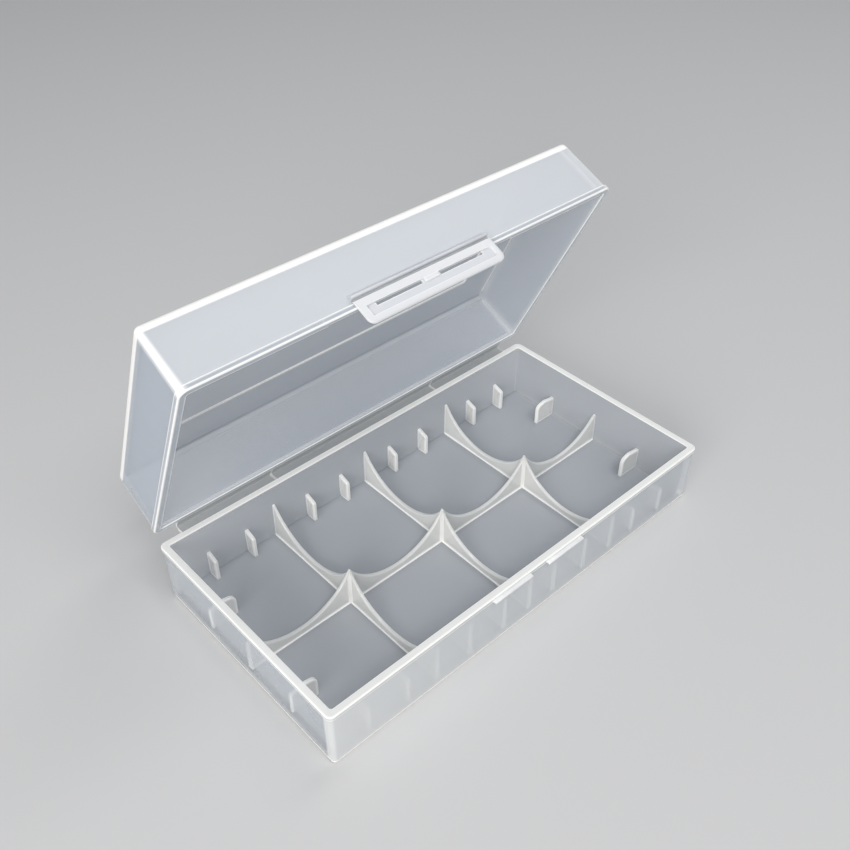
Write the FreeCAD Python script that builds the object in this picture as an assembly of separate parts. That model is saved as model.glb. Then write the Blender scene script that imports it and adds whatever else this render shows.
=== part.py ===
import FreeCAD, Part
import math
import os

from FreeCAD import Vector

# Hinged storage case for large round cells, moulded in one shot from clear polypropylene.
# It has a tray with scalloped dividers and small stops, a lid on a thin hinge along the back,
# and a latch flap on a second thin hinge along the lid's front, which snaps over two bars.
# Sizes are millimetres. The origin is under the middle of the tray, X runs along the hinge,
# Y goes back to the hinge, and Z is up. The lid stands open at rest.

# Case: sizes that the tray and the lid share
case_length = 142.0             # outside, over the rim beads
case_width = 75.0               # outside, over the rim beads, front to back
wall = 1.7                      # side walls
bead_proud = 0.4                # how far the bead along each rim stands out from its wall
bead_round = 0.3                # outer edges of the beads
inside_corner_radius = 0.8      # upright inside corners at the rim
tray_corner_shift = 1.1         # outer corners' axes, diagonally outside the inner ones', which
lid_corner_shift = 0.4          # makes the outer corners tighter than the wall's thickness would
parting_gap = 0.2               # between the two rims when the case is shut
overrun = 2.0                   # how far cutting shapes reach past what they cut
lone_fillet_share = 0.9         # most that a fillet takes of a run whose other end is sharp
paired_fillet_share = 0.45      # most that it takes of a run with a fillet at both ends

# Tray
tray_height = 20.0              # underside to rim
floor_thickness = 1.4
tray_bead_height = 1.4
tray_draft = 0.2                # how far each side leans in from the rim to the floor
tray_bottom_round = 0.9

# Lid, as it lies when shut
lid_height = 19.8               # rim to outer top
lid_top_thickness = 1.3
lid_bead_height = 1.6
lid_draft = 0.4                 # how far each side leans in from the rim to the top
lid_top_round = 1.6
lid_opening = 64.17             # degrees from shut to the rest position
relief_length = 61.4            # thinner stretch of the lid's front rim, behind the latch
relief_depth = 0.5
relief_height = 2.5
panel_depth = 0.3               # shallow label panel in the inner face of the lid's top
panel_end_margin = 14.2         # from the panel to the inner faces at the rim
panel_side_margin = 15.4

# Dividers: thin ribs with a scallop under each cell
divider_thickness = 1.2
divider_height = 13.2           # tops, above the underside
divider_end_height = 11.6       # the length divider's tops at the end walls
divider_end_run = 8.0           # length of those lower ends
cell_pitch = 34.9               # between cross dividers, one large cell across
row_pitch = 36.4                # between the middles of the two rows
length_scallop_radius = 18.3
length_scallop_bottom = 3.8     # lowest point, above the underside
cross_scallop_radius = 18.9
cross_scallop_bottom = 3.15
scallop_pitch_shares = (-1.5, -0.5, 0.5, 1.5)

# Stops: small upright fins that centre the cells
stop_thickness = 1.15
stop_spacing = 13.0             # between the two stops of a pair
stop_reach = 3.8                # from the inner wall face at the rim
stop_height = 9.7               # at the wall, above the underside
stop_tip_height = 8.3           # at the free edge
stop_tip_round = 0.9
end_stop_reach = 8.0
end_stop_height = 9.0           # highest point, above the underside
end_stop_wall_height = 8.2
end_stop_crown_share = 0.55     # place of the highest point, as a share of the reach
end_stop_round = 2.4
gusset_height = 12.4            # where the gusset's sloping edge meets the front wall
gusset_reach = 8.2              # from the inner wall face to the gusset's toe
gusset_hollow = 0.45            # how far the sloping edge sags from a straight line
inner_pair_share = 0.47         # middle of a pair of stops, as a share of its bay's length
outer_pair_share = 0.488

# Lid hinge: two lands that meet at a thin web behind the rims
hinge_end_inset = 7.4           # from the end of the case to the end of the hinge
hinge_standoff = 2.5            # hinge axis behind the rim beads
hinge_land_thickness = 0.85
hinge_land_nose = 0.3           # thickness of each land beside the web
hinge_film = 0.5                # thickness of the web at the axis
hinge_running_gap = 0.1         # between the web and the end of the lid's land

# Latch: land on the lid, flap, and the thin hinge between them
latch_width = 45.3
latch_clearance = 0.1           # between the flap and the rim beads when shut
flap_thickness = 0.9
flap_corner_radius = 2.0
flap_edge_round = 0.25
latch_hinge_height = 2.1        # hinge axis above the lid's rim
latch_hinge_inset = 0.15        # hinge axis outside the flap's inner face
latch_film = 0.4                # thickness of the web at the axis
latch_running_gap = 0.06        # between the web and the flap
latch_groove_angle = 38.0       # degrees, each flank of the groove that lets the flap swing
latch_land_gap = 0.4            # hinge axis to the land above it
latch_land_face = 0.5           # height of the land's outer face
latch_land_ramp = 1.1           # height over which the land runs out into the wall
slot_inner = 2.9                # each slot's inner end, from the middle of the case
slot_margin = 4.85              # from each slot's outer end to the flap's side
slot_height = 1.0
slot_drop = 2.8                 # hinge axis to the slots' upper edge
slot_bridge_margin = 0.6        # from each slot to the raised bridge between the slots
flap_recess_depth = 0.35
flap_recess_height = 2.2        # recess below the slots
flap_recess_round = 0.8
flap_side_border = 2.0          # flat border beside the recess
flap_foot_border = 1.8          # flat border at the flap's free edge

# Catch bars on the tray's front wall, one through each slot of the latch
bar_inner_clearance = 0.2       # between a bar's end and its slot's inner end
bar_outer_clearance = 0.5
bar_lift = 0.15                 # between a bar's underside and its slot's lower edge
bar_play = 0.15                 # between a bar's top and its slot's upper edge
bar_reach = 1.15                # how far the bar's nose stands out from the rim bead
bar_nose_rise = 0.1             # nose's underside above the root's
bar_nose_height = 0.45
bar_nose_round = 0.15

# Places that follow from the sizes above
corner_radius = inside_corner_radius + wall + bead_proud
corner_axis_x = case_length / 2 - corner_radius
corner_axis_y = case_width / 2 - corner_radius
inside_x = case_length / 2 - bead_proud - wall
inside_y = case_width / 2 - bead_proud - wall
lid_rim = tray_height + parting_gap
lid_top = lid_rim + lid_height
hinge_y = case_width / 2 + hinge_standoff
hinge_z = tray_height + parting_gap / 2
hinge_half = case_length / 2 - hinge_end_inset
hinge_land_end = hinge_y - hinge_film / 2 - hinge_running_gap
bead_face_y = -case_width / 2
flap_inner_y = bead_face_y - latch_clearance
flap_outer_y = flap_inner_y - flap_thickness
latch_y = flap_inner_y - latch_hinge_inset
latch_z = lid_rim + latch_hinge_height
slot_top = latch_z - slot_drop
slot_foot = slot_top - slot_height
slot_outer = latch_width / 2 - slot_margin
flap_foot_z = slot_foot - flap_recess_height - flap_foot_border


def rounded_wire(corners):
    """Closed wire through (point, radius) corners, each rounded by its own radius.

    A radius is limited by the straight runs beside its corner.
    """
    count = len(corners)
    ends = []
    for i in range(count):
        here, radius = corners[i]
        before, radius_before = corners[i - 1]
        after, radius_after = corners[(i + 1) % count]
        if radius == 0:
            ends.append((here, None, here))
            continue
        back = before - here
        ahead = after - here
        room_back = back.Length * (paired_fillet_share if radius_before else lone_fillet_share)
        room_ahead = ahead.Length * (paired_fillet_share if radius_after else lone_fillet_share)
        half_angle = back.getAngle(ahead) / 2
        setback = min(radius / math.tan(half_angle), room_back, room_ahead)
        back.normalize()
        ahead.normalize()
        inward = back + ahead
        inward.normalize()
        reach = setback / math.cos(half_angle)
        fillet = setback * math.tan(half_angle)
        ends.append((here + back * setback, here + inward * (reach - fillet), here + ahead * setback))
    edges = []
    for i in range(count):
        start, middle, end = ends[i]
        if middle is not None:
            edges.append(Part.Arc(start, middle, end).toShape())
        edges.append(Part.LineSegment(end, ends[(i + 1) % count][0]).toShape())
    return Part.Wire(edges)


def turned_block(profile, shift=0.0):
    """Solid with one profile all round: straight along its sides and turned at its corners.

    profile lists (distance, height, radius) corners, with distance measured outward from the
    upright axis of an inside corner. It starts and ends on that axis. The corners turn about axes
    that stand further out by shift along both sides.
    """
    axis_x = corner_axis_x + shift
    axis_y = corner_axis_y + shift
    section = Part.Face(rounded_wire([(Vector(max(d - shift, 0), 0, h), r) for d, h, r in profile]))
    heights = [h for _, h, _ in profile]
    origin = Vector(0, 0, 0)
    up = Vector(0, 0, 1)
    pieces = []
    for quarter in range(4):
        side_half = axis_y if quarter % 2 == 0 else axis_x
        side_away = axis_x if quarter % 2 == 0 else axis_y
        side = section.translated(Vector(side_away, -side_half, 0)).extrude(Vector(0, 2 * side_half, 0))
        side.rotate(origin, up, 90 * quarter)
        corner = section.revolve(origin, up, 90).translated(Vector(side_away, side_half, 0))
        corner.rotate(origin, up, 90 * quarter)
        pieces += [side, corner]
    foot = Vector(-axis_x, -axis_y, min(heights))
    core = Part.makeBox(2 * axis_x, 2 * axis_y, max(heights) - min(heights), foot)
    return core.multiFuse(pieces).removeSplitter()


def bar_along_x(profile, start, end):
    """Solid from start to end along X whose side view is the (y, z, radius) profile."""
    face = Part.Face(rounded_wire([(Vector(start, y, z), r) for y, z, r in profile]))
    return face.extrude(Vector(end - start, 0, 0))


def plate_along_y(profile, start, end):
    """Solid from start to end along Y whose front view is the (x, z, radius) profile."""
    face = Part.Face(rounded_wire([(Vector(x, start, z), r) for x, z, r in profile]))
    return face.extrude(Vector(0, end - start, 0))


def box_between(low, high):
    """Box from its lowest to its highest corner."""
    return Part.makeBox(high.x - low.x, high.y - low.y, high.z - low.z, low)


def mirrored_x(shape):
    """The same shape on the other side, left for right."""
    return shape.mirror(Vector(0, 0, 0), Vector(1, 0, 0))


def mirrored_y(shape):
    """The same shape on the other side, front for back."""
    return shape.mirror(Vector(0, 0, 0), Vector(0, 1, 0))


def opened(shape):
    """Swing a shape that is drawn with the lid shut to where it lies at rest."""
    swung = shape.copy()
    swung.rotate(Vector(0, hinge_y, hinge_z), Vector(1, 0, 0), -lid_opening)
    return swung


def make_tray():
    """Open tray with leaning sides, a bead along the rim and a flat underside."""
    side = corner_radius - bead_proud
    bead_foot = tray_height - tray_bead_height
    outside = turned_block([
        (0, 0, 0),
        (side - tray_draft, 0, tray_bottom_round),
        (side, bead_foot, 0),
        (corner_radius, bead_foot, bead_round),
        (corner_radius, tray_height, bead_round),
        (0, tray_height, 0),
    ], tray_corner_shift)
    inside = turned_block([
        (0, floor_thickness, 0),
        (inside_corner_radius - tray_draft, floor_thickness, 0),
        (inside_corner_radius, tray_height, 0),
        (inside_corner_radius, tray_height + overrun, 0),
        (0, tray_height + overrun, 0),
    ])
    return outside.cut(inside)


def make_lid():
    """Lid shell, drawn shut: leaning sides, rounded top edges and a bead along the rim."""
    side = corner_radius - bead_proud
    bead_top = lid_rim + lid_bead_height
    ceiling = lid_top - lid_top_thickness
    outside = turned_block([
        (0, lid_rim, 0),
        (corner_radius, lid_rim, bead_round),
        (corner_radius, bead_top, bead_round),
        (side, bead_top, 0),
        (side - lid_draft, lid_top, lid_top_round),
        (0, lid_top, 0),
    ], lid_corner_shift)
    inside = turned_block([
        (0, lid_rim - overrun, 0),
        (inside_corner_radius, lid_rim - overrun, 0),
        (inside_corner_radius, lid_rim, 0),
        (inside_corner_radius - lid_draft, ceiling, 0),
        (0, ceiling, 0),
    ])
    relief = box_between(
        Vector(-relief_length / 2, -inside_y - relief_depth, lid_rim - overrun),
        Vector(relief_length / 2, -inside_y + overrun, lid_rim + relief_height),
    )
    panel_x = inside_x - panel_end_margin
    panel_y = inside_y - panel_side_margin
    panel = box_between(
        Vector(-panel_x, -panel_y, ceiling - overrun),
        Vector(panel_x, panel_y, ceiling + panel_depth),
    )
    return outside.cut(inside).cut(relief).cut(panel)


def make_length_divider(tray):
    """Rib along the middle of the tray, scalloped under each of the cells that lie across it."""
    end = inside_x + wall / 2
    step = inside_x - divider_end_run
    blank = plate_along_y([
        (-end, floor_thickness / 2, 0),
        (end, floor_thickness / 2, 0),
        (end, divider_end_height, 0),
        (step, divider_end_height, 0),
        (step, divider_height, 0),
        (-step, divider_height, 0),
        (-step, divider_end_height, 0),
        (-end, divider_end_height, 0),
    ], -divider_thickness / 2, divider_thickness / 2)
    axis_z = length_scallop_bottom + length_scallop_radius
    reach = divider_thickness / 2 + overrun
    for share in scallop_pitch_shares:
        start = Vector(share * cell_pitch, -reach, axis_z)
        blank = blank.cut(Part.makeCylinder(length_scallop_radius, 2 * reach, start, Vector(0, 1, 0)))
    return blank.cut(tray)


def make_cross_divider(place, tray):
    """Rear half of the cross divider at a given x, scalloped under the cell in its row."""
    blank = box_between(
        Vector(place - divider_thickness / 2, divider_thickness / 2, floor_thickness / 2),
        Vector(place + divider_thickness / 2, inside_y + wall / 2, divider_height),
    )
    reach = divider_thickness / 2 + overrun
    start = Vector(place - reach, row_pitch / 2, cross_scallop_bottom + cross_scallop_radius)
    scallop = Part.makeCylinder(cross_scallop_radius, 2 * reach, start, Vector(1, 0, 0))
    return blank.cut(scallop).cut(tray)


def make_back_stop(place, tray):
    """Fin on the back wall that stops a cell from sliding sideways."""
    root = inside_y + wall / 2
    tip = inside_y - stop_reach
    blank = bar_along_x([
        (root, floor_thickness / 2, 0),
        (tip, floor_thickness / 2, 0),
        (tip, stop_tip_height, stop_tip_round),
        (inside_y, stop_height, 0),
        (root, stop_height, 0),
    ], place - stop_thickness / 2, place + stop_thickness / 2)
    return blank.cut(tray)


def make_front_gusset(place, tray):
    """Fin on the front wall whose sloping top edge sags a little, down to a toe on the floor."""
    root = -inside_y - wall / 2
    start = Vector(place - stop_thickness / 2, -inside_y, gusset_height)
    toe = Vector(start.x, gusset_reach - inside_y, floor_thickness)
    slope = toe - start
    slope.normalize()
    sag = (start + toe) * 0.5 + Vector(0, slope.z, -slope.y) * gusset_hollow
    edges = [
        Part.Arc(start, sag, toe).toShape(),
        Part.makePolygon([
            toe,
            Vector(start.x, toe.y, floor_thickness / 2),
            Vector(start.x, root, floor_thickness / 2),
            Vector(start.x, root, gusset_height),
            start,
        ]),
    ]
    blank = Part.Face(Part.Wire(edges)).extrude(Vector(stop_thickness, 0, 0))
    return blank.cut(tray)


def make_end_stop(tray):
    """Fin on the right end wall, in the middle of the rear row, that a cell's end rests against."""
    root = inside_x + wall / 2
    tip = inside_x - end_stop_reach
    crown = inside_x - end_stop_reach * end_stop_crown_share
    blank = plate_along_y([
        (root, floor_thickness / 2, 0),
        (tip, floor_thickness / 2, 0),
        (tip, end_stop_wall_height, end_stop_round),
        (crown, end_stop_height, end_stop_round),
        (inside_x, end_stop_wall_height, 0),
        (root, end_stop_wall_height, 0),
    ], (row_pitch - stop_thickness) / 2, (row_pitch + stop_thickness) / 2)
    return blank.cut(tray)


def make_catch_bar(tray):
    """Wedge on the right half of the tray's front rim that one slot of the latch snaps over."""
    root = bead_face_y + bead_proud + wall / 2
    nose = bead_face_y - bar_reach
    foot = slot_foot + bar_lift
    nose_foot = foot + bar_nose_rise
    top = slot_top - bar_play
    blank = bar_along_x([
        (root, foot, 0),
        (bead_face_y, foot, 0),
        (nose, nose_foot, bar_nose_round),
        (nose, nose_foot + bar_nose_height, bar_nose_round),
        (bead_face_y, top, 0),
        (root, top, 0),
    ], slot_inner + bar_inner_clearance, slot_outer - bar_outer_clearance)
    return blank.cut(tray)


def hinge_land_profile():
    """Side view of the tray's hinge land, from inside the wall to the bevel beside the axis."""
    root = inside_y + wall
    foot = tray_height - hinge_land_thickness
    bevel = hinge_land_thickness - hinge_land_nose
    return [
        (root, tray_height, 0),
        (hinge_land_end, tray_height, 0),
        (hinge_land_end, tray_height - hinge_land_nose, 0),
        (hinge_land_end - bevel, foot, 0),
        (root, foot, 0),
    ]


def make_tray_hinge_land(tray):
    """Ledge behind the tray's rim that carries the hinge web."""
    return bar_along_x(hinge_land_profile(), -hinge_half, hinge_half).cut(tray)


def make_lid_hinge_land(lid):
    """The lid's ledge, drawn shut: the tray's land turned over on the parting plane."""
    ledge = bar_along_x(hinge_land_profile(), -hinge_half, hinge_half)
    return ledge.mirror(Vector(0, 0, hinge_z), Vector(0, 0, 1)).cut(lid)


def make_lid_hinge_film():
    """Thin web along the hinge axis, joined to the tray's land."""
    start = Vector(-hinge_half, hinge_y, hinge_z)
    web = Part.makeCylinder(hinge_film / 2, 2 * hinge_half, start, Vector(1, 0, 0))
    neck = box_between(
        Vector(-hinge_half, hinge_land_end, hinge_z - hinge_film / 2),
        Vector(hinge_half, hinge_y, hinge_z),
    )
    return web.fuse(neck).removeSplitter()


def make_latch_land(lid):
    """Ledge on the lid's front wall, drawn shut, that the latch hangs from."""
    root = -inside_y - wall / 2
    foot = latch_z + latch_land_gap
    lip = latch_z + (latch_y - flap_outer_y) * math.tan(math.radians(latch_groove_angle))
    flank_y = latch_y - latch_land_gap / math.tan(math.radians(latch_groove_angle))
    face_top = lip + latch_land_face
    wall_y = bead_face_y + bead_proud
    run_out = latch_land_ramp / (wall_y - flap_outer_y)
    return bar_along_x([
        (root, foot, 0),
        (flank_y, foot, 0),
        (flap_outer_y, lip, 0),
        (flap_outer_y, face_top, 0),
        (root, face_top + (root - flap_outer_y) * run_out, 0),
    ], -latch_width / 2, latch_width / 2).cut(lid)


def make_latch_hinge_film():
    """Thin web along the latch's hinge axis, drawn shut, joined to the land above it."""
    start = Vector(-latch_width / 2, latch_y, latch_z)
    web = Part.makeCylinder(latch_film / 2, latch_width, start, Vector(1, 0, 0))
    neck = box_between(
        Vector(-latch_width / 2, latch_y - latch_film / 2, latch_z),
        Vector(latch_width / 2, latch_y + latch_film / 2, latch_z + latch_land_gap),
    )
    return web.fuse(neck).removeSplitter()


def make_latch_flap():
    """Flap, drawn shut: a rounded plate with a bevelled top edge, a recess and two slots."""
    half = latch_width / 2
    neck = latch_film / 2 + latch_running_gap
    bevel = math.tan(math.radians(latch_groove_angle))
    side_view = bar_along_x([
        (flap_inner_y, flap_foot_z, flap_edge_round),
        (flap_inner_y, latch_z - latch_hinge_inset, 0),
        (latch_y - latch_hinge_inset / bevel, latch_z - latch_hinge_inset, 0),
        (flap_outer_y, latch_z - (latch_y - flap_outer_y) * bevel, 0),
        (flap_outer_y, flap_foot_z, flap_edge_round),
    ], -half, half)
    front_view = plate_along_y([
        (-half, flap_foot_z, flap_corner_radius),
        (half, flap_foot_z, flap_corner_radius),
        (half, latch_z, 0),
        (-half, latch_z, 0),
    ], flap_outer_y - overrun, flap_inner_y + overrun)
    hinge_line = Vector(-half - overrun, latch_y, latch_z)
    running_room = Part.makeCylinder(neck, latch_width + 2 * overrun, hinge_line, Vector(1, 0, 0))
    recess_half = half - flap_side_border
    recess_foot = flap_foot_z + flap_foot_border
    bridge_half = slot_inner - slot_bridge_margin
    recess = plate_along_y([
        (-recess_half, recess_foot, flap_recess_round),
        (recess_half, recess_foot, flap_recess_round),
        (recess_half, slot_top, flap_recess_round),
        (bridge_half, slot_top, 0),
        (bridge_half, slot_foot, 0),
        (-bridge_half, slot_foot, 0),
        (-bridge_half, slot_top, 0),
        (-recess_half, slot_top, flap_recess_round),
    ], flap_outer_y - overrun, flap_outer_y + flap_recess_depth)
    slot = box_between(
        Vector(slot_inner, flap_outer_y - overrun, slot_foot),
        Vector(slot_outer, flap_inner_y + overrun, slot_top),
    )
    flap = side_view.common(front_view).cut(running_room)
    return flap.cut(recess).cut(slot).cut(mirrored_x(slot))


def pair_places(middle):
    """Places along X of a pair of stops on each side of the case, from left to right."""
    near = middle - stop_spacing / 2
    far = middle + stop_spacing / 2
    return [-far, -near, near, far]


def make_parts():
    """All pieces of the case by name, in their places at rest."""
    tray = make_tray()
    lid = make_lid()
    parts = {
        "base_tray": tray,
        "length_divider": make_length_divider(tray),
        "tray_hinge_land": make_tray_hinge_land(tray),
        "lid_hinge_film": make_lid_hinge_film(),
        "lid_shell": opened(lid),
        "lid_hinge_land": opened(make_lid_hinge_land(lid)),
        "latch_land": opened(make_latch_land(lid)),
        "latch_hinge_film": opened(make_latch_hinge_film()),
        "latch_flap": opened(make_latch_flap()),
    }
    for name, place in (("left", -cell_pitch), ("centre", 0), ("right", cell_pitch)):
        divider = make_cross_divider(place, tray)
        parts[f"cross_divider_{name}_back"] = divider
        parts[f"cross_divider_{name}_front"] = mirrored_y(divider)
    inner_places = pair_places(inner_pair_share * cell_pitch)
    outer_places = pair_places(cell_pitch + outer_pair_share * (inside_x - cell_pitch))
    for number, place in enumerate(sorted(inner_places + outer_places), 1):
        parts[f"back_stop_{number}"] = make_back_stop(place, tray)
    for number, place in enumerate(outer_places, 1):
        parts[f"front_stop_{number}"] = mirrored_y(make_back_stop(place, tray))
    for number, place in enumerate(inner_places, 1):
        parts[f"front_gusset_{number}"] = make_front_gusset(place, tray)
    end_stop = make_end_stop(tray)
    parts["end_stop_right_back"] = end_stop
    parts["end_stop_right_front"] = mirrored_y(end_stop)
    parts["end_stop_left_back"] = mirrored_x(end_stop)
    parts["end_stop_left_front"] = mirrored_x(mirrored_y(end_stop))
    bar = make_catch_bar(tray)
    parts["catch_bar_right"] = bar
    parts["catch_bar_left"] = mirrored_x(bar)
    return parts


def main():
    """Build every piece and write it to its own file."""
    os.makedirs("parts", exist_ok=True)
    for name, shape in make_parts().items():
        shape.exportStep(f"parts/{name}.step")


main()
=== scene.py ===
"""Clear moulded storage case for large round cells, dressed over its measured frame.

The case is one moulding: a tray with scalloped dividers and small stops, a lid on a living hinge,
and a latch flap on a second living hinge. Each wall is a closed surface worked out on a grid of two
parameters. Each carries an "edge" attribute, from 0 on broad faces to 1 at a moulded edge, where
light gathers in the plastic and turns it milky; this milk is partly the plastic's own and partly
painted light. Below zero the attribute is painted shade, along inner edges and over faces inside
the case. Sizes are millimetres until a mesh is made.
"""

from __future__ import annotations

import logging
import math
from dataclasses import dataclass, field, replace
from enum import Enum
from typing import Sequence

import bmesh
import bpy
import numpy as np
import numpy.typing as npt
from mathutils import Matrix


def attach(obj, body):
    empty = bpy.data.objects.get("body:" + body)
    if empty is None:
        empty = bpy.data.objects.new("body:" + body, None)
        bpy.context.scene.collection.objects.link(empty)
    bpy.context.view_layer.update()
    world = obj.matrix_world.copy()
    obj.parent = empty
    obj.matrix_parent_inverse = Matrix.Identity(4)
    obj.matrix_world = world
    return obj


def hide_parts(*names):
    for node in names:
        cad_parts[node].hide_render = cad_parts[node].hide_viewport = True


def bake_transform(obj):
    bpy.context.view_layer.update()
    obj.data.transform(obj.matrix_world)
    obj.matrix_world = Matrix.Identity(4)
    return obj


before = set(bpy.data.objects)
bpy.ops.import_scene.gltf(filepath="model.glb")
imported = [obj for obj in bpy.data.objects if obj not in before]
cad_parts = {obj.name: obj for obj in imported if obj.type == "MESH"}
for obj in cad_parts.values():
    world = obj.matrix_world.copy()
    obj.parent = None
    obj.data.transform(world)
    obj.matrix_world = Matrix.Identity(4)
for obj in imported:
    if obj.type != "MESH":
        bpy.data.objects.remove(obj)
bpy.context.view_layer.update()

Array = npt.NDArray[np.float64]
Rgb = tuple[float, float, float]
Finishes = dict["FinishName", bpy.types.Material]

MM = 0.001
EDGE = "edge"
SLIGHT_TURN = 0.1  # radians: a corner that turns less stays a point
WEIGHTED_TURN = 0.3  # radians: a plain corner that turns more counts as an edge
RUN_SHARE = 0.48  # how far along a run its extra points may stand
PLATE_SIDE_WEIGHT = 0.8  # edge weight halfway round a plate's turned edge
CORNER_REACH = 1.6  # reach of a corner's edge weight, in halves of its turn
UPRIGHT = 0.8  # rows steeper than this share belong to a wall
log = logging.getLogger("storage_case")


class Zone(Enum):
    """Rigid zones of the moulding, by the name of the body that carries them."""

    TRAY = "tray"
    LID = "lid"
    LATCH = "latch"


class FinishName(Enum):
    """How the plastic looks in one part of the moulding."""

    TRAY_WALL = "clear_tray_wall"
    LID_WALL = "clear_lid_wall"
    RIB = "milky_rib"
    LATCH = "milky_latch"
    HINGE = "worked_hinge"


def falloff(distance: Array, reach: float) -> Array:
    """Edge weight at a distance from an edge: one minus the share of the reach, squared.

    Args:
        distance: distances from the nearest edge, in millimetres.
        reach: distance at which the weight has gone.

    Returns:
        Weights from 0 to 1, in the shape of distance.
    """
    return np.clip(1.0 - np.abs(distance) / reach, 0.0, 1.0) ** 2


def turned_line(corners: Sequence[tuple[float, float, float]], closed: bool, steps: int = 4,
                holds: Sequence[float] = ()) -> tuple[Array, Array]:
    """Line through (a, b, radius) corners, each turned by an arc of its own radius.

    An arc starts and ends radius / tan(half the corner's angle) from the corner. With u and v from
    its centre to its ends and s the angle between them, its points are
    centre + (sin((1 - t) s) u + sin(t s) v) / sin(s).

    Args:
        corners: corners in order.
        closed: whether the last corner joins the first.
        steps: runs in each arc.
        holds: length past each corner over which its edge keeps its whole weight.

    Returns:
        Points (count, 2), and for each 1.0 plus its hold if it belongs to an edge and 0.0 if not.
    """
    table = np.asarray(corners, float)
    marks = 1.0 + (np.asarray(holds, float) if len(holds) else np.zeros(len(table)))
    points: list[Array] = []
    flags: list[Array] = []
    share = np.linspace(0.0, 1.0, steps + 1)[:, None]
    for i, (a, b, radius) in enumerate(table):
        here = np.array([a, b])
        if not closed and i in (0, len(table) - 1):
            points.append(here[None])
            flags.append(np.zeros(1))
            continue
        back = table[i - 1, :2] - here
        ahead = table[(i + 1) % len(table), :2] - here
        back /= np.linalg.norm(back)
        ahead /= np.linalg.norm(ahead)
        turn = math.pi - math.acos(float(np.clip(back @ ahead, -1.0, 1.0)))
        if radius == 0.0 or turn < SLIGHT_TURN:
            points.append(here[None])
            flags.append(np.full(1, float(turn > WEIGHTED_TURN)) * marks[i])
            continue
        half = (math.pi - turn) / 2
        inward = (back + ahead) / np.linalg.norm(back + ahead)
        centre = here + inward * radius / math.sin(half)
        u = here + back * radius / math.tan(half) - centre
        v = here + ahead * radius / math.tan(half) - centre
        arc = centre + (np.sin((1 - share) * turn) * u + np.sin(share * turn) * v) / math.sin(turn)
        points.append(arc)
        flags.append(np.full(steps + 1, marks[i]))
    return np.concatenate(points), np.concatenate(flags)


def stronger(one: Array, other: Array) -> Array:
    """The stronger of two weights, where a weight below zero shades instead of whitening."""
    return np.where(np.abs(one) >= np.abs(other), one, other)


def supported_line(points: Array, flags: Array, closed: bool, reach: float,
                   support: Sequence[float] = (0.2, 0.45, 0.8, 1.2, 1.7)) -> tuple[Array, Array]:
    """Line with extra points near both ends of its straight runs, and its edge weights.

    A weight is the falloff of the length along the line to the nearest flagged point, less its hold.

    Args:
        points: line (count, 2).
        flags: 1.0 plus its hold for each point on an edge.
        closed: whether the last point joins the first.
        reach: length over which an edge fades.
        support: where the extra points stand, in millimetres from a run's ends.

    Returns:
        Points (more, 2) and weights (more,).
    """
    ahead = np.roll(points, -1, axis=0) if closed else points[1:]
    start = points if closed else points[:-1]
    runs = ahead - start
    lengths = np.linalg.norm(runs, axis=1)
    pieces: list[Array] = []
    marks: list[Array] = []
    for here, run, length, flag in zip(start, runs, lengths, flags):
        near = np.array([d for d in support if d < length * RUN_SHARE])
        stops = np.concatenate([[0.0], near, (length - near)[::-1]])
        pieces.append(here + run * (stops / length)[:, None])
        marks.append(np.concatenate([[flag], np.zeros(len(stops) - 1)]))
    if not closed:
        pieces.append(points[-1:])
        marks.append(flags[-1:])
    line = np.concatenate(pieces)
    mark = np.concatenate(marks)
    steps = np.linalg.norm(np.diff(line, axis=0), axis=1)
    along = np.concatenate([[0.0], np.cumsum(steps)])
    flagged = mark > 0.5
    gap = np.abs(along[:, None] - along[flagged][None])
    if closed:
        total = along[-1] + float(np.linalg.norm(line[0] - line[-1]))
        gap = np.minimum(gap, total - gap)
    gap = np.maximum(gap - (mark[flagged] - 1.0)[None], 0.0)
    return line, falloff(gap.min(axis=1), reach)


def inset_outline(outline: Array, insets: Array) -> Array:
    """Copies of a closed outline moved inward, each point along the mitre of its two sides.

    With unit normals m and n of the sides beside a point, the move is inset (m + n) / (1 + m.n).

    Args:
        outline: closed outline (count, 2).
        insets: how far each copy moves, in millimetres.

    Returns:
        Outlines (copies, count, 2).
    """
    ahead = np.roll(outline, -1, axis=0) - outline
    ahead /= np.linalg.norm(ahead, axis=1, keepdims=True)
    area = np.sum(outline[:, 0] * np.roll(outline[:, 1], -1) - np.roll(outline[:, 0], -1) * outline[:, 1])
    after = np.stack([-ahead[:, 1], ahead[:, 0]], axis=1) * math.copysign(1.0, area)
    before = np.roll(after, 1, axis=0)
    mitre = (before + after) / (1.0 + np.sum(before * after, axis=1, keepdims=True))
    return outline[None] + mitre[None] * insets[:, None, None]


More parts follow.
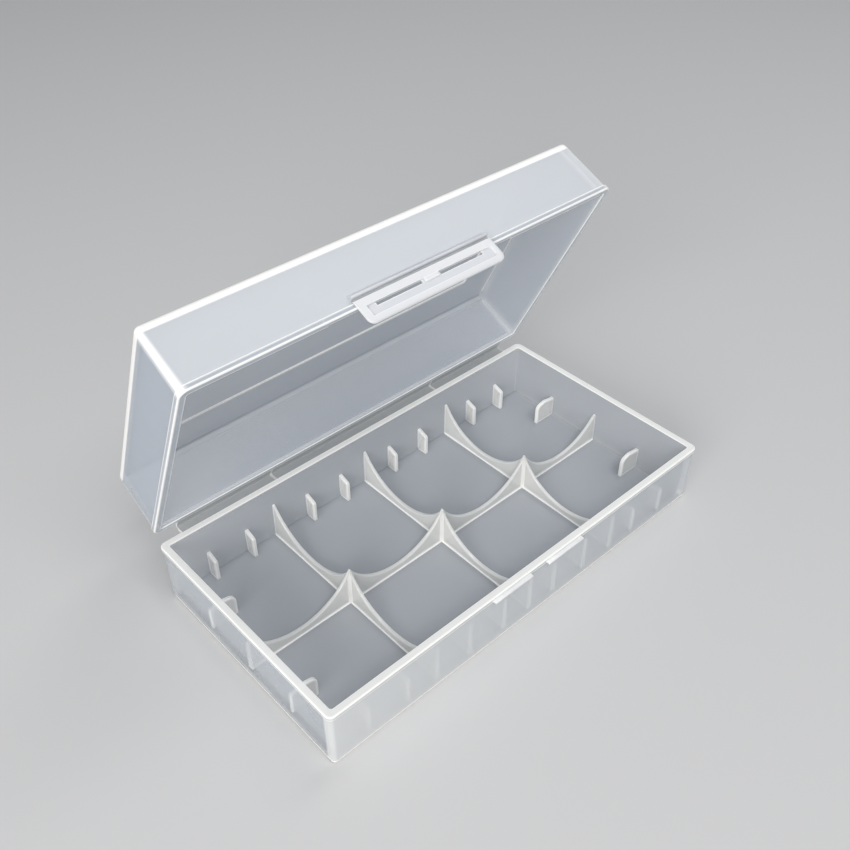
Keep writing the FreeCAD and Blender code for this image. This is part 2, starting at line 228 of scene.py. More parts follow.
def plate_loops(outline: Array, half: float, turn: float, depth: float,
                reach: float = 0.9) -> tuple[Array, Array]:
    """Loops over a flat plate with turned edges, from the middle of one face to that of the other.

    At angle a round the edge the inset is turn (1 - sin a) and the distance from the plate's
    middle plane is half - turn (1 - cos a).

    Args:
        outline: closed outline (count, 2).
        half: half the plate's thickness.
        turn: radius of its edges.
        depth: inset of the innermost loop, inside which the face is flat.
        reach: length over which the edge weight fades on the faces.

    Returns:
        Loops (loops, count, 3) as (a, b, across) and weights (loops, count).
    """
    angle = np.linspace(0.0, math.pi / 2, 4)
    inset = np.concatenate([[depth, (depth + turn) / 2], turn * (1 - np.sin(angle))])
    across = np.concatenate([[half, half], half - turn * (1 - np.cos(angle))])
    weight = falloff(np.maximum(inset - turn, 0.0), reach)
    insets = np.concatenate([inset, [0.0], inset[::-1]])
    levels = np.concatenate([-across, [0.0], across[::-1]])
    weights = np.concatenate([weight, [PLATE_SIDE_WEIGHT], weight[::-1]])
    flat = inset_outline(outline, insets)
    loops = np.concatenate([flat, np.broadcast_to(levels[:, None, None], flat.shape[:2] + (1,))], axis=2)
    return loops, np.broadcast_to(weights[:, None], flat.shape[:2]).copy()


@dataclass(frozen=True)
class RibSection:
    """Section of a standing rib: buried foot, small fillets, leaning sides and a turned top."""

    thickness: float
    foot: float
    bury: float
    top_turn: float = 0.2
    lean: float = 0.02
    fillet: float = 0.3
    crown_weight: float = 0.22
    buried_weight: float = 0.8
    foot_hold: float = 0.25
    foot_reach: float = 0.75
    top_reach: float = 0.7
    root_reach: float = 0.8
    least_rise: float = 0.02
    full_rise: float = 3.6

    def loops(self, along: Array, top: Array, roots: Sequence[float]) -> tuple[Array, Array]:
        """The section at each place along the rib: up one side, over the top and down the other.

        Args:
            along: places along the rib.
            top: height of its top at each place.
            roots: places where it grows from a wall, along which it is milky.

        Returns:
            Loops (places, points, 3) as (along, across, height) and weights (places, points).
        """
        half = self.thickness / 2
        shoulder = np.maximum(top - self.top_turn, self.foot + self.least_rise)
        scale = np.minimum(1.0, (shoulder - self.foot) / self.full_rise)[:, None]
        rise = np.array([0.1, 0.3, 0.6, 1.2])
        fall = np.array([1.7, 0.8, 0.3])
        angle = np.linspace(0.0, math.pi / 2, 4)
        heights = np.concatenate([
            np.full((len(along), 1), self.foot - self.bury),
            np.full((len(along), 1), self.foot),
            self.foot + rise[None] * scale,
            shoulder[:, None] - fall[None] * scale,
            shoulder[:, None] + self.top_turn * np.sin(angle)[None],
        ], axis=1)
        lean = self.lean * np.maximum(heights - self.foot, 0.0)
        spread = np.concatenate([[self.fillet], [self.fillet],
                                 self.fillet * np.clip(1 - rise / self.fillet, 0.0, 1.0) ** 2,
                                 np.zeros(len(fall) + len(angle))])
        turn = np.concatenate([np.zeros(2 + len(rise) + len(fall)), self.top_turn * (1 - np.cos(angle))])
        across = half + spread - turn - lean
        crown = self.crown_weight
        weight = np.concatenate([[self.buried_weight, 1.0],
                                 falloff(np.maximum(rise - self.foot_hold, 0.0), self.foot_reach),
                                 crown * falloff(fall, self.top_reach), np.full(len(angle), crown)])
        height = np.concatenate([heights, heights[:, ::-1]], axis=1)
        side = np.concatenate([-across, across[:, ::-1]], axis=1)
        place = np.broadcast_to(along[:, None], height.shape)
        from_root = np.abs(along[:, None] - np.asarray(roots, float)[None]).min(axis=1)
        root = falloff(from_root, self.root_reach)
        weights = np.maximum(np.concatenate([weight, weight[::-1]])[None], root[:, None])
        return np.stack([place, side, height], axis=-1), weights


@dataclass
class Draft:
    """Grids gathered as whole arrays, in millimetres, before they become one mesh."""

    points: list[Array] = field(default_factory=list)
    edges: list[Array] = field(default_factory=list)
    quads: list[npt.NDArray[np.int64]] = field(default_factory=list)
    caps: list[list[int]] = field(default_factory=list)
    count: int = 0

    def add_points(self, points: Array, edge: Array) -> npt.NDArray[np.int64]:
        """Put in points of any grid shape.

        Args:
            points: points (..., 3).
            edge: weights in the same grid shape.

        Returns:
            The points' numbers, in that grid shape.
        """
        index = self.count + np.arange(edge.size).reshape(edge.shape)
        self.points.append(points.reshape(-1, 3))
        self.edges.append(edge.reshape(-1))
        self.count += edge.size
        return index

    def add_quads(self, index: npt.NDArray[np.int64]) -> None:
        """Put in a face for each cell of a grid of point numbers.

        Args:
            index: point numbers (rows, columns).
        """
        cells = np.stack([index[:-1, :-1], index[:-1, 1:], index[1:, 1:], index[1:, :-1]], axis=-1)
        self.quads.append(cells.reshape(-1, 4))

    def loft(self, loops: Array, edge: Array) -> None:
        """Put in a closed surface through closed loops, with a flat face over each end.

        Args:
            loops: loops (rows, columns, 3).
            edge: weights (rows, columns).
        """
        index = self.add_points(loops, edge)
        self.add_quads(np.concatenate([index, index[:, :1]], axis=1))
        self.caps.append(index[0, ::-1].tolist())
        self.caps.append(index[-1].tolist())

    def to_object(self, name: str, material: bpy.types.Material,
                  sharp_degrees: float = 33.0) -> bpy.types.Object:
        """Make the mesh, in metres, with its seams merged and its faces pointing outward.

        Args:
            name: name of the piece.
            material: its finish.
            sharp_degrees: angle between faces past which an edge is shaded as sharp.

        Returns:
            The new object, which sits at the origin.
        """
        mesh = bpy.data.meshes.new(name)
        faces = [q for block in self.quads for q in block.tolist()] + self.caps
        mesh.from_pydata((np.concatenate(self.points) * MM).tolist(), [], faces)
        layer = mesh.attributes.new(EDGE, "FLOAT", "POINT")
        layer.data.foreach_set("value", np.concatenate(self.edges).astype(np.float32))
        shell = bmesh.new()
        shell.from_mesh(mesh)
        bmesh.ops.remove_doubles(shell, verts=shell.verts, dist=2e-6)
        bmesh.ops.recalc_face_normals(shell, faces=shell.faces)
        if shell.calc_volume(signed=True) < 0:
            bmesh.ops.reverse_faces(shell, faces=shell.faces)
        shell.to_mesh(mesh)
        shell.free()
        mesh.shade_smooth()
        mesh.set_sharp_from_angle(angle=math.radians(sharp_degrees))
        mesh.materials.append(material)
        piece = bpy.data.objects.new(name, mesh)
        bpy.context.scene.collection.objects.link(piece)
        return piece


@dataclass(frozen=True)
class Bend:
    """The axis about which a thin web folds, as the points where each body takes over."""

    start_zone: Zone
    end_zone: Zone
    start: Rgb
    end: Rgb


@dataclass(frozen=True)
class Piece:
    """A finished piece, the zone that it moves with and the frame nodes that it stands for."""

    body: bpy.types.Object
    zone: Zone
    nodes: tuple[str, ...]
    bend: Bend | None = None

    def fit(self) -> None:
        """Carry the piece on its zone, or bake its place into its mesh where it has a bend, and hide the
        nodes it replaces.
        """
        if self.bend is None:
            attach(self.body, self.zone.value)
        else:
            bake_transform(self.body)
        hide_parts(*self.nodes)
        faces = len(self.body.data.polygons)
        log.info("%s: %d faces, for %s", self.body.name, faces, ", ".join(self.nodes))


@dataclass(frozen=True)
class CaseSizes:
    """Sizes that the tray and the lid share, and the places that follow from them."""

    length: float = 142.0
    width: float = 75.0
    wall: float = 1.7
    bead_proud: float = 0.4
    bead_round: float = 0.3
    inside_round: float = 0.8
    parting_gap: float = 0.2
    tray_height: float = 20.0
    floor: float = 1.4
    lid_height: float = 19.8
    hinge_standoff: float = 2.5
    opening_degrees: float = 64.17
    outside_step: float = 0.9
    bead_step: float = 0.02

    @property
    def corner(self) -> float:
        """Radius of the rim bead's corners."""
        return self.inside_round + self.wall + self.bead_proud

    @property
    def axis(self) -> Array:
        """Half distances between the upright axes of the corners."""
        return np.array([self.length / 2 - self.corner, self.width / 2 - self.corner])

    @property
    def inside(self) -> Array:
        """Half distances between the inner wall faces at the rim."""
        return np.array([self.length, self.width]) / 2 - self.bead_proud - self.wall

    @property
    def outside_from(self) -> float:
        """Outward distance past which a row lies on the outside."""
        return self.inside_round + self.outside_step

    @property
    def bead_from(self) -> float:
        """Outward distance past which a row lies on the rim bead."""
        return self.corner - self.bead_proud + self.bead_step

    @property
    def lid_rim(self) -> float:
        """Height of the lid's rim when shut."""
        return self.tray_height + self.parting_gap

    @property
    def lid_top(self) -> float:
        """Height of the lid's outer top when shut."""
        return self.lid_rim + self.lid_height

    @property
    def hinge(self) -> Array:
        """The lid's hinge axis, as (y, z)."""
        return np.array([self.width / 2 + self.hinge_standoff, self.tray_height + self.parting_gap / 2])

    def opened(self, points: Array) -> Array:
        """Swing points that are drawn with the lid shut to where they lie at rest.

        With y and z measured from the hinge axis and the angle t below zero, the new ones are
        y cos t - z sin t and y sin t + z cos t.

        Args:
            points: points (..., 3).

        Returns:
            The swung points, in the same shape.
        """
        t = -math.radians(self.opening_degrees)
        y = points[..., 1] - self.hinge[0]
        z = points[..., 2] - self.hinge[1]
        return np.stack([points[..., 0],
                         y * math.cos(t) - z * math.sin(t) + self.hinge[0],
                         y * math.sin(t) + z * math.cos(t) + self.hinge[1]], axis=-1)


@dataclass(frozen=True)
class LoopPlan:
    """One turn round a rounded rectangle, kept apart from its size.

    A point of a loop is slide times the half sizes plus outward times a distance, where slide runs
    from -1 to 1 along a side and outward turns through a right angle at each corner.
    """

    slide: Array
    outward: Array
    corner: Array

    @classmethod
    def make(cls, axis: Array, front_marks: Sequence[float] = (), turns: int = 8, reach: float = 1.5,
             hold: float = 0.0) -> LoopPlan:
        """Lay out the turn, with points close together beside the corners.

        Args:
            axis: half distances between the corners' axes, in millimetres.
            front_marks: extra places along the front side, in millimetres from its middle.
            turns: runs in each corner.
            reach: length over which the corners' edge weight fades along the sides.
            hold: share of a corner's turn, from its middle, over which the weight stays whole.

        Returns:
            The plan.
        """
        slides: list[Array] = []
        outwards: list[Array] = []
        corners: list[Array] = []
        beside = np.array([0.3, 0.8, 1.6, 4.0])
        rim_share = float(falloff(np.array([1.0 - hold]), CORNER_REACH)[0])
        for quarter in range(4):
            angle = quarter * math.pi / 2
            along = np.array([-math.sin(angle), math.cos(angle)])
            out = np.array([math.cos(angle), math.sin(angle)])
            half = float(np.abs(along) @ axis)
            places = np.concatenate([-half + beside, np.linspace(-half, half, 15)[1:-1], half - beside])
            if quarter == 3:
                places = np.concatenate([places, np.asarray(front_marks, float)])
            places = np.unique(np.round(places, 4))
            slides.append(out[None] + along[None] * (places / half)[:, None])
            outwards.append(np.broadcast_to(out, (len(places), 2)))
            corners.append(rim_share * falloff(half - np.abs(places), reach))
            sweep = angle + np.linspace(0.0, math.pi / 2, turns + 1)
            turned = np.stack([np.cos(sweep), np.sin(sweep)], axis=1)
            slides.append(np.broadcast_to(out + along, (turns + 1, 2)))
            outwards.append(turned)
            off_middle = np.abs(np.linspace(-1.0, 1.0, turns + 1))
            corners.append(falloff(np.maximum(off_middle - hold, 0.0), CORNER_REACH))
        return cls(np.concatenate(slides), np.concatenate(outwards), np.concatenate(corners))

    def loops(self, half: Array, distance: Array, height: Array) -> Array:
        """Loops of several sizes.

        Args:
            half: half sizes of each loop (rows, 2).
            distance: outward distance of each loop (rows,).
            height: height of each loop (rows,).

        Returns:
            Points (rows, columns, 3).
        """
        flat = self.slide[None] * half[:, None] + self.outward[None] * distance[:, None, None]
        level = np.broadcast_to(height[:, None, None], flat.shape[:2] + (1,))
        return np.concatenate([flat, level], axis=2)


@dataclass(frozen=True)
class ShellRows:
    """Rows of a shell: the half sizes, outward distance, height and edge weights of its loops."""

    half: Array
    distance: Array
    height: Array
    weight: Array
    upright: Array

    @classmethod
    def wall(cls, corners: Sequence[tuple[float, float, float]], axis: Array, reach: float,
             breaks: Sequence[float] = (), holds: Sequence[float] = ()) -> ShellRows:
        """Rows up or down a wall whose section is given as (distance, height, radius) corners.

        Args:
            corners: corners of the section, in order.
            axis: half distances between the corners' axes.
            reach: length over which the edges fade.
            breaks: heights at which the last long run gets an extra row.
            holds: length past each corner over which its edge keeps its whole weight.

        Returns:
            The rows.
        """
        line, flags = turned_line(corners, closed=False, holds=holds)
        line, weight = supported_line(line, flags, closed=False, reach=reach)
        for level in breaks:
            above = line[:, 1] - level
            i = int(np.flatnonzero(above[:-1] * above[1:] < 0)[-1])
            t = (level - line[i, 1]) / (line[i + 1, 1] - line[i, 1])
            line = np.insert(line, i + 1, line[i] + t * (line[i + 1] - line[i]), axis=0)
            weight = np.insert(weight, i + 1, weight[i] + t * (weight[i + 1] - weight[i]))
        slope = np.gradient(line, axis=0)
        upright = np.abs(slope[:, 1]) / np.maximum(np.hypot(slope[:, 0], slope[:, 1]), 1e-9)
        half = np.broadcast_to(axis, (len(line), 2)).copy()
        return cls(half, line[:, 0], line[:, 1], weight, upright)

    @classmethod
    def level(cls, axis: Array, distance: float, height: float, reach: float,
              insets: Sequence[float] = (0.5, 1.1, 2.0),
              shares: Sequence[float] = (0.9, 0.7, 0.5, 0.3, 0.12, 0.02)) -> ShellRows:
        """Rows over a flat floor, from just inside its edge to a small loop at its middle.

        Args:
            axis: half sizes at the floor's edge.
            distance: outward distance at the floor's edge.
            height: the floor's height.
            reach: length over which the floor's edge fades.
            insets: how far the first rows stand in, in millimetres.
            shares: sizes of the others, as shares of the last of the first rows.

        Returns:
            The rows.
        """
        near = np.asarray(insets, float)
        inner = np.asarray(shares, float)
        half = np.concatenate([axis[None] - near[:, None], (axis - near[-1])[None] * inner[:, None]])
        spread = np.concatenate([np.full(len(near), distance), distance * inner])
        weight = np.concatenate([falloff(near, reach), np.zeros(len(inner))])
        return cls(half, spread, np.full(len(half), height), weight, np.zeros(len(half)))

    def columns(self) -> tuple[Array, ...]:
        """The arrays, in the order of the fields."""
        return self.half, self.distance, self.height, self.weight, self.upright

    def reversed(self) -> ShellRows:
        """The same rows in the other order."""
        return ShellRows(*(column[::-1] for column in self.columns()))

    def joined(self, *others: ShellRows) -> ShellRows:
        """These rows followed by others."""
        same = zip(self.columns(), *(rows.columns() for rows in others))
        return ShellRows(*(np.concatenate(parts) for parts in same))

    def tuned(self, rows: npt.NDArray[np.bool_], least: float) -> ShellRows:
        """The same rows with the edge weight of some of them raised.

        Args:
            rows: which rows change.
            least: the least weight that they get.

        Returns:
            The rows.
        """
        return replace(self, weight=np.where(rows, stronger(self.weight, np.float64(least)), self.weight))

    def painted_line_shade(self, rows: npt.NDArray[np.bool_], depth: float) -> ShellRows:
        """The same rows with the edge weight of some of them turned into painted shade, for a dark line.

        Args:
            rows: which rows change.
            depth: the painted shade where their weight was one.

        Returns:
            The rows.
        """
        return replace(self, weight=np.where(rows, -depth * self.weight ** 2, self.weight))

    def painted_face_shade(self, rows: npt.NDArray[np.bool_], depth: float) -> ShellRows:
        """The same rows with painted shade over the faces of some of them, as they lie inside the case.

        Args:
            rows: which rows change.
            depth: the painted shade of a face far from any edge.

        Returns:
            The rows.
        """
        dim = self.weight - depth * (1.0 - np.abs(self.weight))
        return replace(self, weight=np.where(rows, dim, self.weight))

    def surface(self, plan: LoopPlan, corner_weight: float, shift: float, rim: float,
                inside_round: float) -> tuple[Array, Array]:
        """Points and weights of the whole shell.

        The outer corners turn about axes that stand further out, so that part of each row's
        distance moves into its half sizes. It fades out over the rim, towards the inner corners.

        Args:
            plan: the turn round the case.
            corner_weight: edge weight of the upright corners.
            shift: how far out the outer corners' axes stand.
            rim: height of the rim.
            inside_round: radius of the inner corners.

        Returns:
            Points (rows, columns, 3) and weights (rows, columns).
        """
        rim_inset, kept_distance, inner_corner_painted_shade, touch = 0.15, 0.3, 0.45, 1e-6
        on_rim = np.abs(self.height - rim) < touch
        after = np.arange(len(on_rim)) > np.flatnonzero(on_rim)[-1]
        over = shift * np.clip(self.distance - inside_round - rim_inset, 0.0, 1.0)
        whole = np.clip(self.distance - kept_distance, 0.0, shift)
        moved = np.where(after, 0.0, np.where(on_rim, over, whole))
        points = plan.loops(self.half + moved[:, None], self.distance - moved, self.height)
        # The inner upright corners get painted shade instead of milk.
        strength = np.where(after[:, None], -inner_corner_painted_shade, corner_weight)
        corner = strength * plan.corner[None] * self.upright[:, None]
        return points, stronger(np.broadcast_to(self.weight[:, None], corner.shape), corner)


@dataclass
class TrayShell:
    """Open tray: floor, four leaning walls and the bead along the rim."""

    case: CaseSizes
    bead_height: float = 1.4
    draft: float = 0.2
    bottom_round: float = 0.9
    inner_fillet: float = 0.35
    edge_reach: float = 0.6
    corner_weight: float = 0.35
    rim_milk: float = 0.85
    bead_milk: float = 0.45
    # Faint milk on the outer walls, partly painted light on the lit outside.
    outer_milk_and_light: float = 0.08
    # Painted shade over the inner walls and the floor.
    inner_painted_shade: float = 0.22
    floor_painted_shade: float = 0.38
    base_milk: float = 0.95
    # A painted shade line along the inner foot of the walls.
    foot_painted_shade: float = 0.75
    corner_shift: float = 1.1
    rear_share: float = 0.3
    # A painted highlight on the outer front wall, fading from left to right.
    front_painted_glare: tuple[float, float] = (0.58, 0.16)
    # Painted shade on the inner right end wall.
    right_painted_shade: float = 0.5
    foot_zone: float = 1.5
    wall_margins: tuple[float, float] = (0.5, 0.3)
    rear_step: float = 0.5
    hair: float = 0.05
    under_share: float = 0.8
    start_distance: float = 1.2
    end_distance: float = 0.05

    def milked(self, rows: ShellRows) -> ShellRows:
        """Set how milky each stretch of the section is: most at the rim and bead, least inside, with a
        painted shade line along the inner foot, painted shade over the inner walls and floor, and faint
        painted light on the outer walls.
        """
        case = self.case
        level, out = rows.height, rows.distance
        inner = (out < case.inside_round) & (level > case.floor - self.hair)
        outer = out > case.outside_from
        # Painted shade: a dark line along the inner foot, then over the inner walls and the floor.
        rows = rows.painted_line_shade(inner & (level < case.floor + self.foot_zone), self.foot_painted_shade)
        rows = rows.painted_face_shade(inner & (level > case.floor + self.hair), self.inner_painted_shade)
        rows = rows.painted_face_shade(inner & (level < case.floor + self.hair), self.floor_painted_shade)
        # Faint painted light on the outer walls, with their milk.
        rows = rows.tuned(outer & (rows.upright > UPRIGHT), self.outer_milk_and_light)
        rows = rows.tuned(outer & (level < case.floor * self.under_share), self.base_milk)
        rows = rows.tuned(out > case.bead_from, self.bead_milk)
        return rows.tuned(level > case.tray_height - self.hair, self.rim_milk)

    def toned(self, points: Array, rows: ShellRows, weights: Array) -> Array:
        """Thin the milk under the back, paint a highlight on the outer front wall that fades from left to
        right, and paint shade on the inner right end wall.

        Args:
            points: the shell's points (rows, columns, 3).
            rows: the shell's rows.
            weights: the edge weights (rows, columns).

        Returns:
            The changed weights.
        """
        case = self.case
        x, y, z = np.moveaxis(points, -1, 0)
        rear = (y > case.axis[1] + self.rear_step) & (z < case.floor)
        toned = np.where(rear, self.rear_share * weights, weights)
        outside = (rows.distance > case.outside_from)[:, None]
        # A painted highlight on the outer front wall, strongest at its left end.
        milk = np.interp(x, (-case.axis[0], case.axis[0]), self.front_painted_glare)
        toned = np.where(outside & (y < -case.axis[1]), np.maximum(toned, milk), toned)
        # Painted shade on the inner right end wall, between floor and rim.
        above_floor, below_rim = self.wall_margins
        inner = ((rows.distance < case.inside_round) & (rows.height > case.floor + above_floor)
                 & (rows.height < case.tray_height - below_rim))[:, None]
        return np.where(inner & (x > case.axis[0]), np.minimum(toned, -self.right_painted_shade), toned)

    def build(self, finishes: Finishes) -> list[Piece]:
        """Make the tray as one closed surface.

        The section runs out over the underside, up the outer wall and its bead, over the rim and
        down the inner wall, and is carried round the case with straight sides and turned corners.

        Args:
            finishes: the materials by name.

        Returns:
            The tray's piece.
        """
        case = self.case
        side = case.corner - case.bead_proud
        bead_foot = case.tray_height - self.bead_height
        small = case.bead_round / 2
        wall = ShellRows.wall([
            (self.start_distance, 0.0, 0.0),
            (side - self.draft, 0.0, self.bottom_round),
            (side, bead_foot, small),
            (case.corner, bead_foot, small),
            (case.corner, case.tray_height, case.bead_round),
            (case.inside_round, case.tray_height, small),
            (case.inside_round - self.draft, case.floor, self.inner_fillet),
            (self.end_distance, case.floor, 0.0),
        ], case.axis, self.edge_reach)
        under = ShellRows.level(case.axis, self.start_distance, 0.0, self.edge_reach).reversed()
        floor = ShellRows.level(case.axis, self.end_distance, case.floor, self.edge_reach)
        rows = self.milked(under.joined(wall, floor))
        points, weights = rows.surface(LoopPlan.make(case.axis), self.corner_weight, self.corner_shift,
                                       case.tray_height, case.inside_round)
        draft = Draft()
        draft.loft(points, self.toned(points, rows, weights))
        body = draft.to_object("tray_moulding", finishes[FinishName.TRAY_WALL])
        return [Piece(body, Zone.TRAY, ("base_tray",))]


@dataclass
class Dividers:
    """Scalloped ribs: one along the middle of the tray, and three across it in halves."""

    case: CaseSizes
    thickness: float = 1.2
    height: float = 13.2
    end_height: float = 11.6
    end_run: float = 8.0
    cell_pitch: float = 34.9
    long_radius: float = 19.7
    long_bottom: float = 3.55
    cross_radius: float = 20.4
    cross_bottom: float = 3.5
    cross_middle: float = 17.65
    peak: float = 13.9
    peak_run: float = 6.0
    bury: float = 0.35
    softness: float = 9.0
    overlap: float = 0.2
    cross_sink: float = 0.015
    step_half: float = 0.03
    post_fillet: float = 0.9
    post_sink: float = 0.25
    post_milk: float = 0.62
    post_reach_up: float = 3.0

    def scallop_top(self, along: Array, middles: Sequence[float], radius: float, bottom: float,
                    crest: Array) -> Array:
        """Height of a rib's top edge: the lowest of its crest and its scallops, eased at the peaks.

        A scallop's height is bottom + radius - sqrt(radius^2 - offset^2). The easing is a soft
        minimum, -log(sum of exp(-k h)) / k.

        Args:
            along: places along the rib.
            middles: middles of the scallops.
            radius: radius of the scallops.
            bottom: lowest point of the scallops.
            crest: height of the rib's uncut top at each place.

        Returns:
            Heights, in the shape of along.
        """
        offset = along[None] - np.asarray(middles, float)[:, None]
        drop = np.sqrt(np.clip(radius ** 2 - offset ** 2, 0.0, None))
        round_cut = np.where(np.abs(offset) < radius, bottom + radius - drop, self.height * 3)
        levels = np.concatenate([crest[None], round_cut]) - self.height
        return self.height - np.log(np.exp(-self.softness * levels).sum(axis=0)) / self.softness

    def build(self, finishes: Finishes) -> list[Piece]:
        """Make the long rib and the six halves of the cross ribs.

        Args:
            finishes: the materials by name.

        Returns:
            Seven pieces.
        """
        case = self.case
        finish = finishes[FinishName.RIB]
        end = float(case.inside[0]) + self.bury
        step = float(case.inside[0]) - self.end_run
        beside = [way * step + gap for way in (-1, 1) for gap in (-self.step_half, self.step_half)]
        along = np.unique(np.concatenate([np.linspace(-end, end, 415), beside]))
        crest = np.where(np.abs(along) > step, self.end_height, self.peak)
        middles = [share * self.cell_pitch for share in (-1.5, -0.5, 0.5, 1.5)]
        top = self.scallop_top(along, middles, self.long_radius, self.long_bottom, crest)
        draft = Draft()
        section = RibSection(self.thickness, case.floor, self.bury)
        draft.loft(*section.loops(along, top, (-float(case.inside[0]), float(case.inside[0]))))
        pieces = [Piece(draft.to_object("long_rib", finish), Zone.TRAY, ("length_divider",))]
        start = self.thickness / 2 - self.overlap
        along = np.linspace(start, float(case.inside[1]) + self.bury, 130)
        crest = np.where(along < self.peak_run, self.peak, self.height)
        top = self.scallop_top(along, [self.cross_middle], self.cross_radius, self.cross_bottom, crest)
        top = top - self.cross_sink
        loops, weights = section.loops(along, top, (float(case.inside[1]),))
        for name, place in (("left", -self.cell_pitch), ("centre", 0.0), ("right", self.cell_pitch)):
            for row, way in (("back", 1.0), ("front", -1.0)):
                points = np.stack([place + loops[..., 1], way * loops[..., 0], loops[..., 2]], axis=-1)
                draft = Draft()
                draft.loft(points, weights)
                body = draft.to_object(f"cross_rib_{name}_{row}", finish)
                pieces.append(Piece(body, Zone.TRAY, (f"cross_divider_{name}_{row}",)))
        return pieces + self.posts(finish)

    def post_reach(self, level: float) -> float:
        """How far from a crossing the ribs still reach a height."""
        long_rise, cross_rise = max(level - self.long_bottom, 0.0), max(level - self.cross_bottom, 0.0)
        long_half = math.sqrt(self.long_radius ** 2 - (self.long_radius - long_rise) ** 2)
        cross_half = math.sqrt(self.cross_radius ** 2 - (self.cross_radius - cross_rise) ** 2)
        return min(self.cell_pitch / 2 - long_half, self.cross_middle - cross_half)

    def posts(self, finish: bpy.types.Material) -> list[Piece]:
        """Fillets up the four inner corners of each crossing, closed at the ribs' peak.

        A fillet of radius f is a quarter circle about the point that lies half the rib's thickness
        plus f out along both ribs.

        Args:
            finish: the material.

        Returns:
            Three pieces.
        """
        foot, tip = self.case.floor, self.peak - self.post_sink
        levels = np.concatenate([[foot - self.bury], np.linspace(foot, tip - 0.9, 9),
                                 tip - np.array([0.6, 0.35, 0.18, 0.08])])
        loops: list[Array] = []
        for level in levels:
            half = self.thickness / 2 - 0.02 * max(level - foot, 0.0) - 0.01
            free = self.post_reach(min(level, tip - 0.05)) - half - 0.05
            fillet = float(np.clip(free, 0.03, self.post_fillet))
            shrink = float(np.clip((tip + 0.03 - level) / 0.5, 0.3, 1.0))
            angle = np.linspace(math.pi / 2, 0.0, 6)
            corner = (half + fillet) - fillet * np.stack([np.cos(angle), np.sin(angle)], axis=1)
            a, b = corner.T
            turns = [np.stack([a * c - b * s, a * s + b * c], axis=1)
                     for c, s in ((1, 0), (0, 1), (-1, 0), (0, -1))]
            flat = shrink * np.concatenate([turn[::-1] for turn in turns][::-1])[::-1]
            loops.append(np.column_stack([flat, np.full(len(flat), level)]))
        pieces: list[Piece] = []
        rest = (1.0 - self.post_milk) * falloff(levels - foot, self.post_reach_up)
        weight = np.clip(self.post_milk + rest, 0.0, 1.0)
        for name, place in (("left", -self.cell_pitch), ("centre", 0.0), ("right", self.cell_pitch)):
            points = np.array(loops) + np.array([place, 0.0, 0.0])
            draft = Draft()
            draft.loft(points, np.broadcast_to(weight[:, None], points.shape[:2]).copy())
            body = draft.to_object(f"crossing_{name}", finish)
            pieces.append(Piece(body, Zone.TRAY, ("length_divider",)))
        return pieces


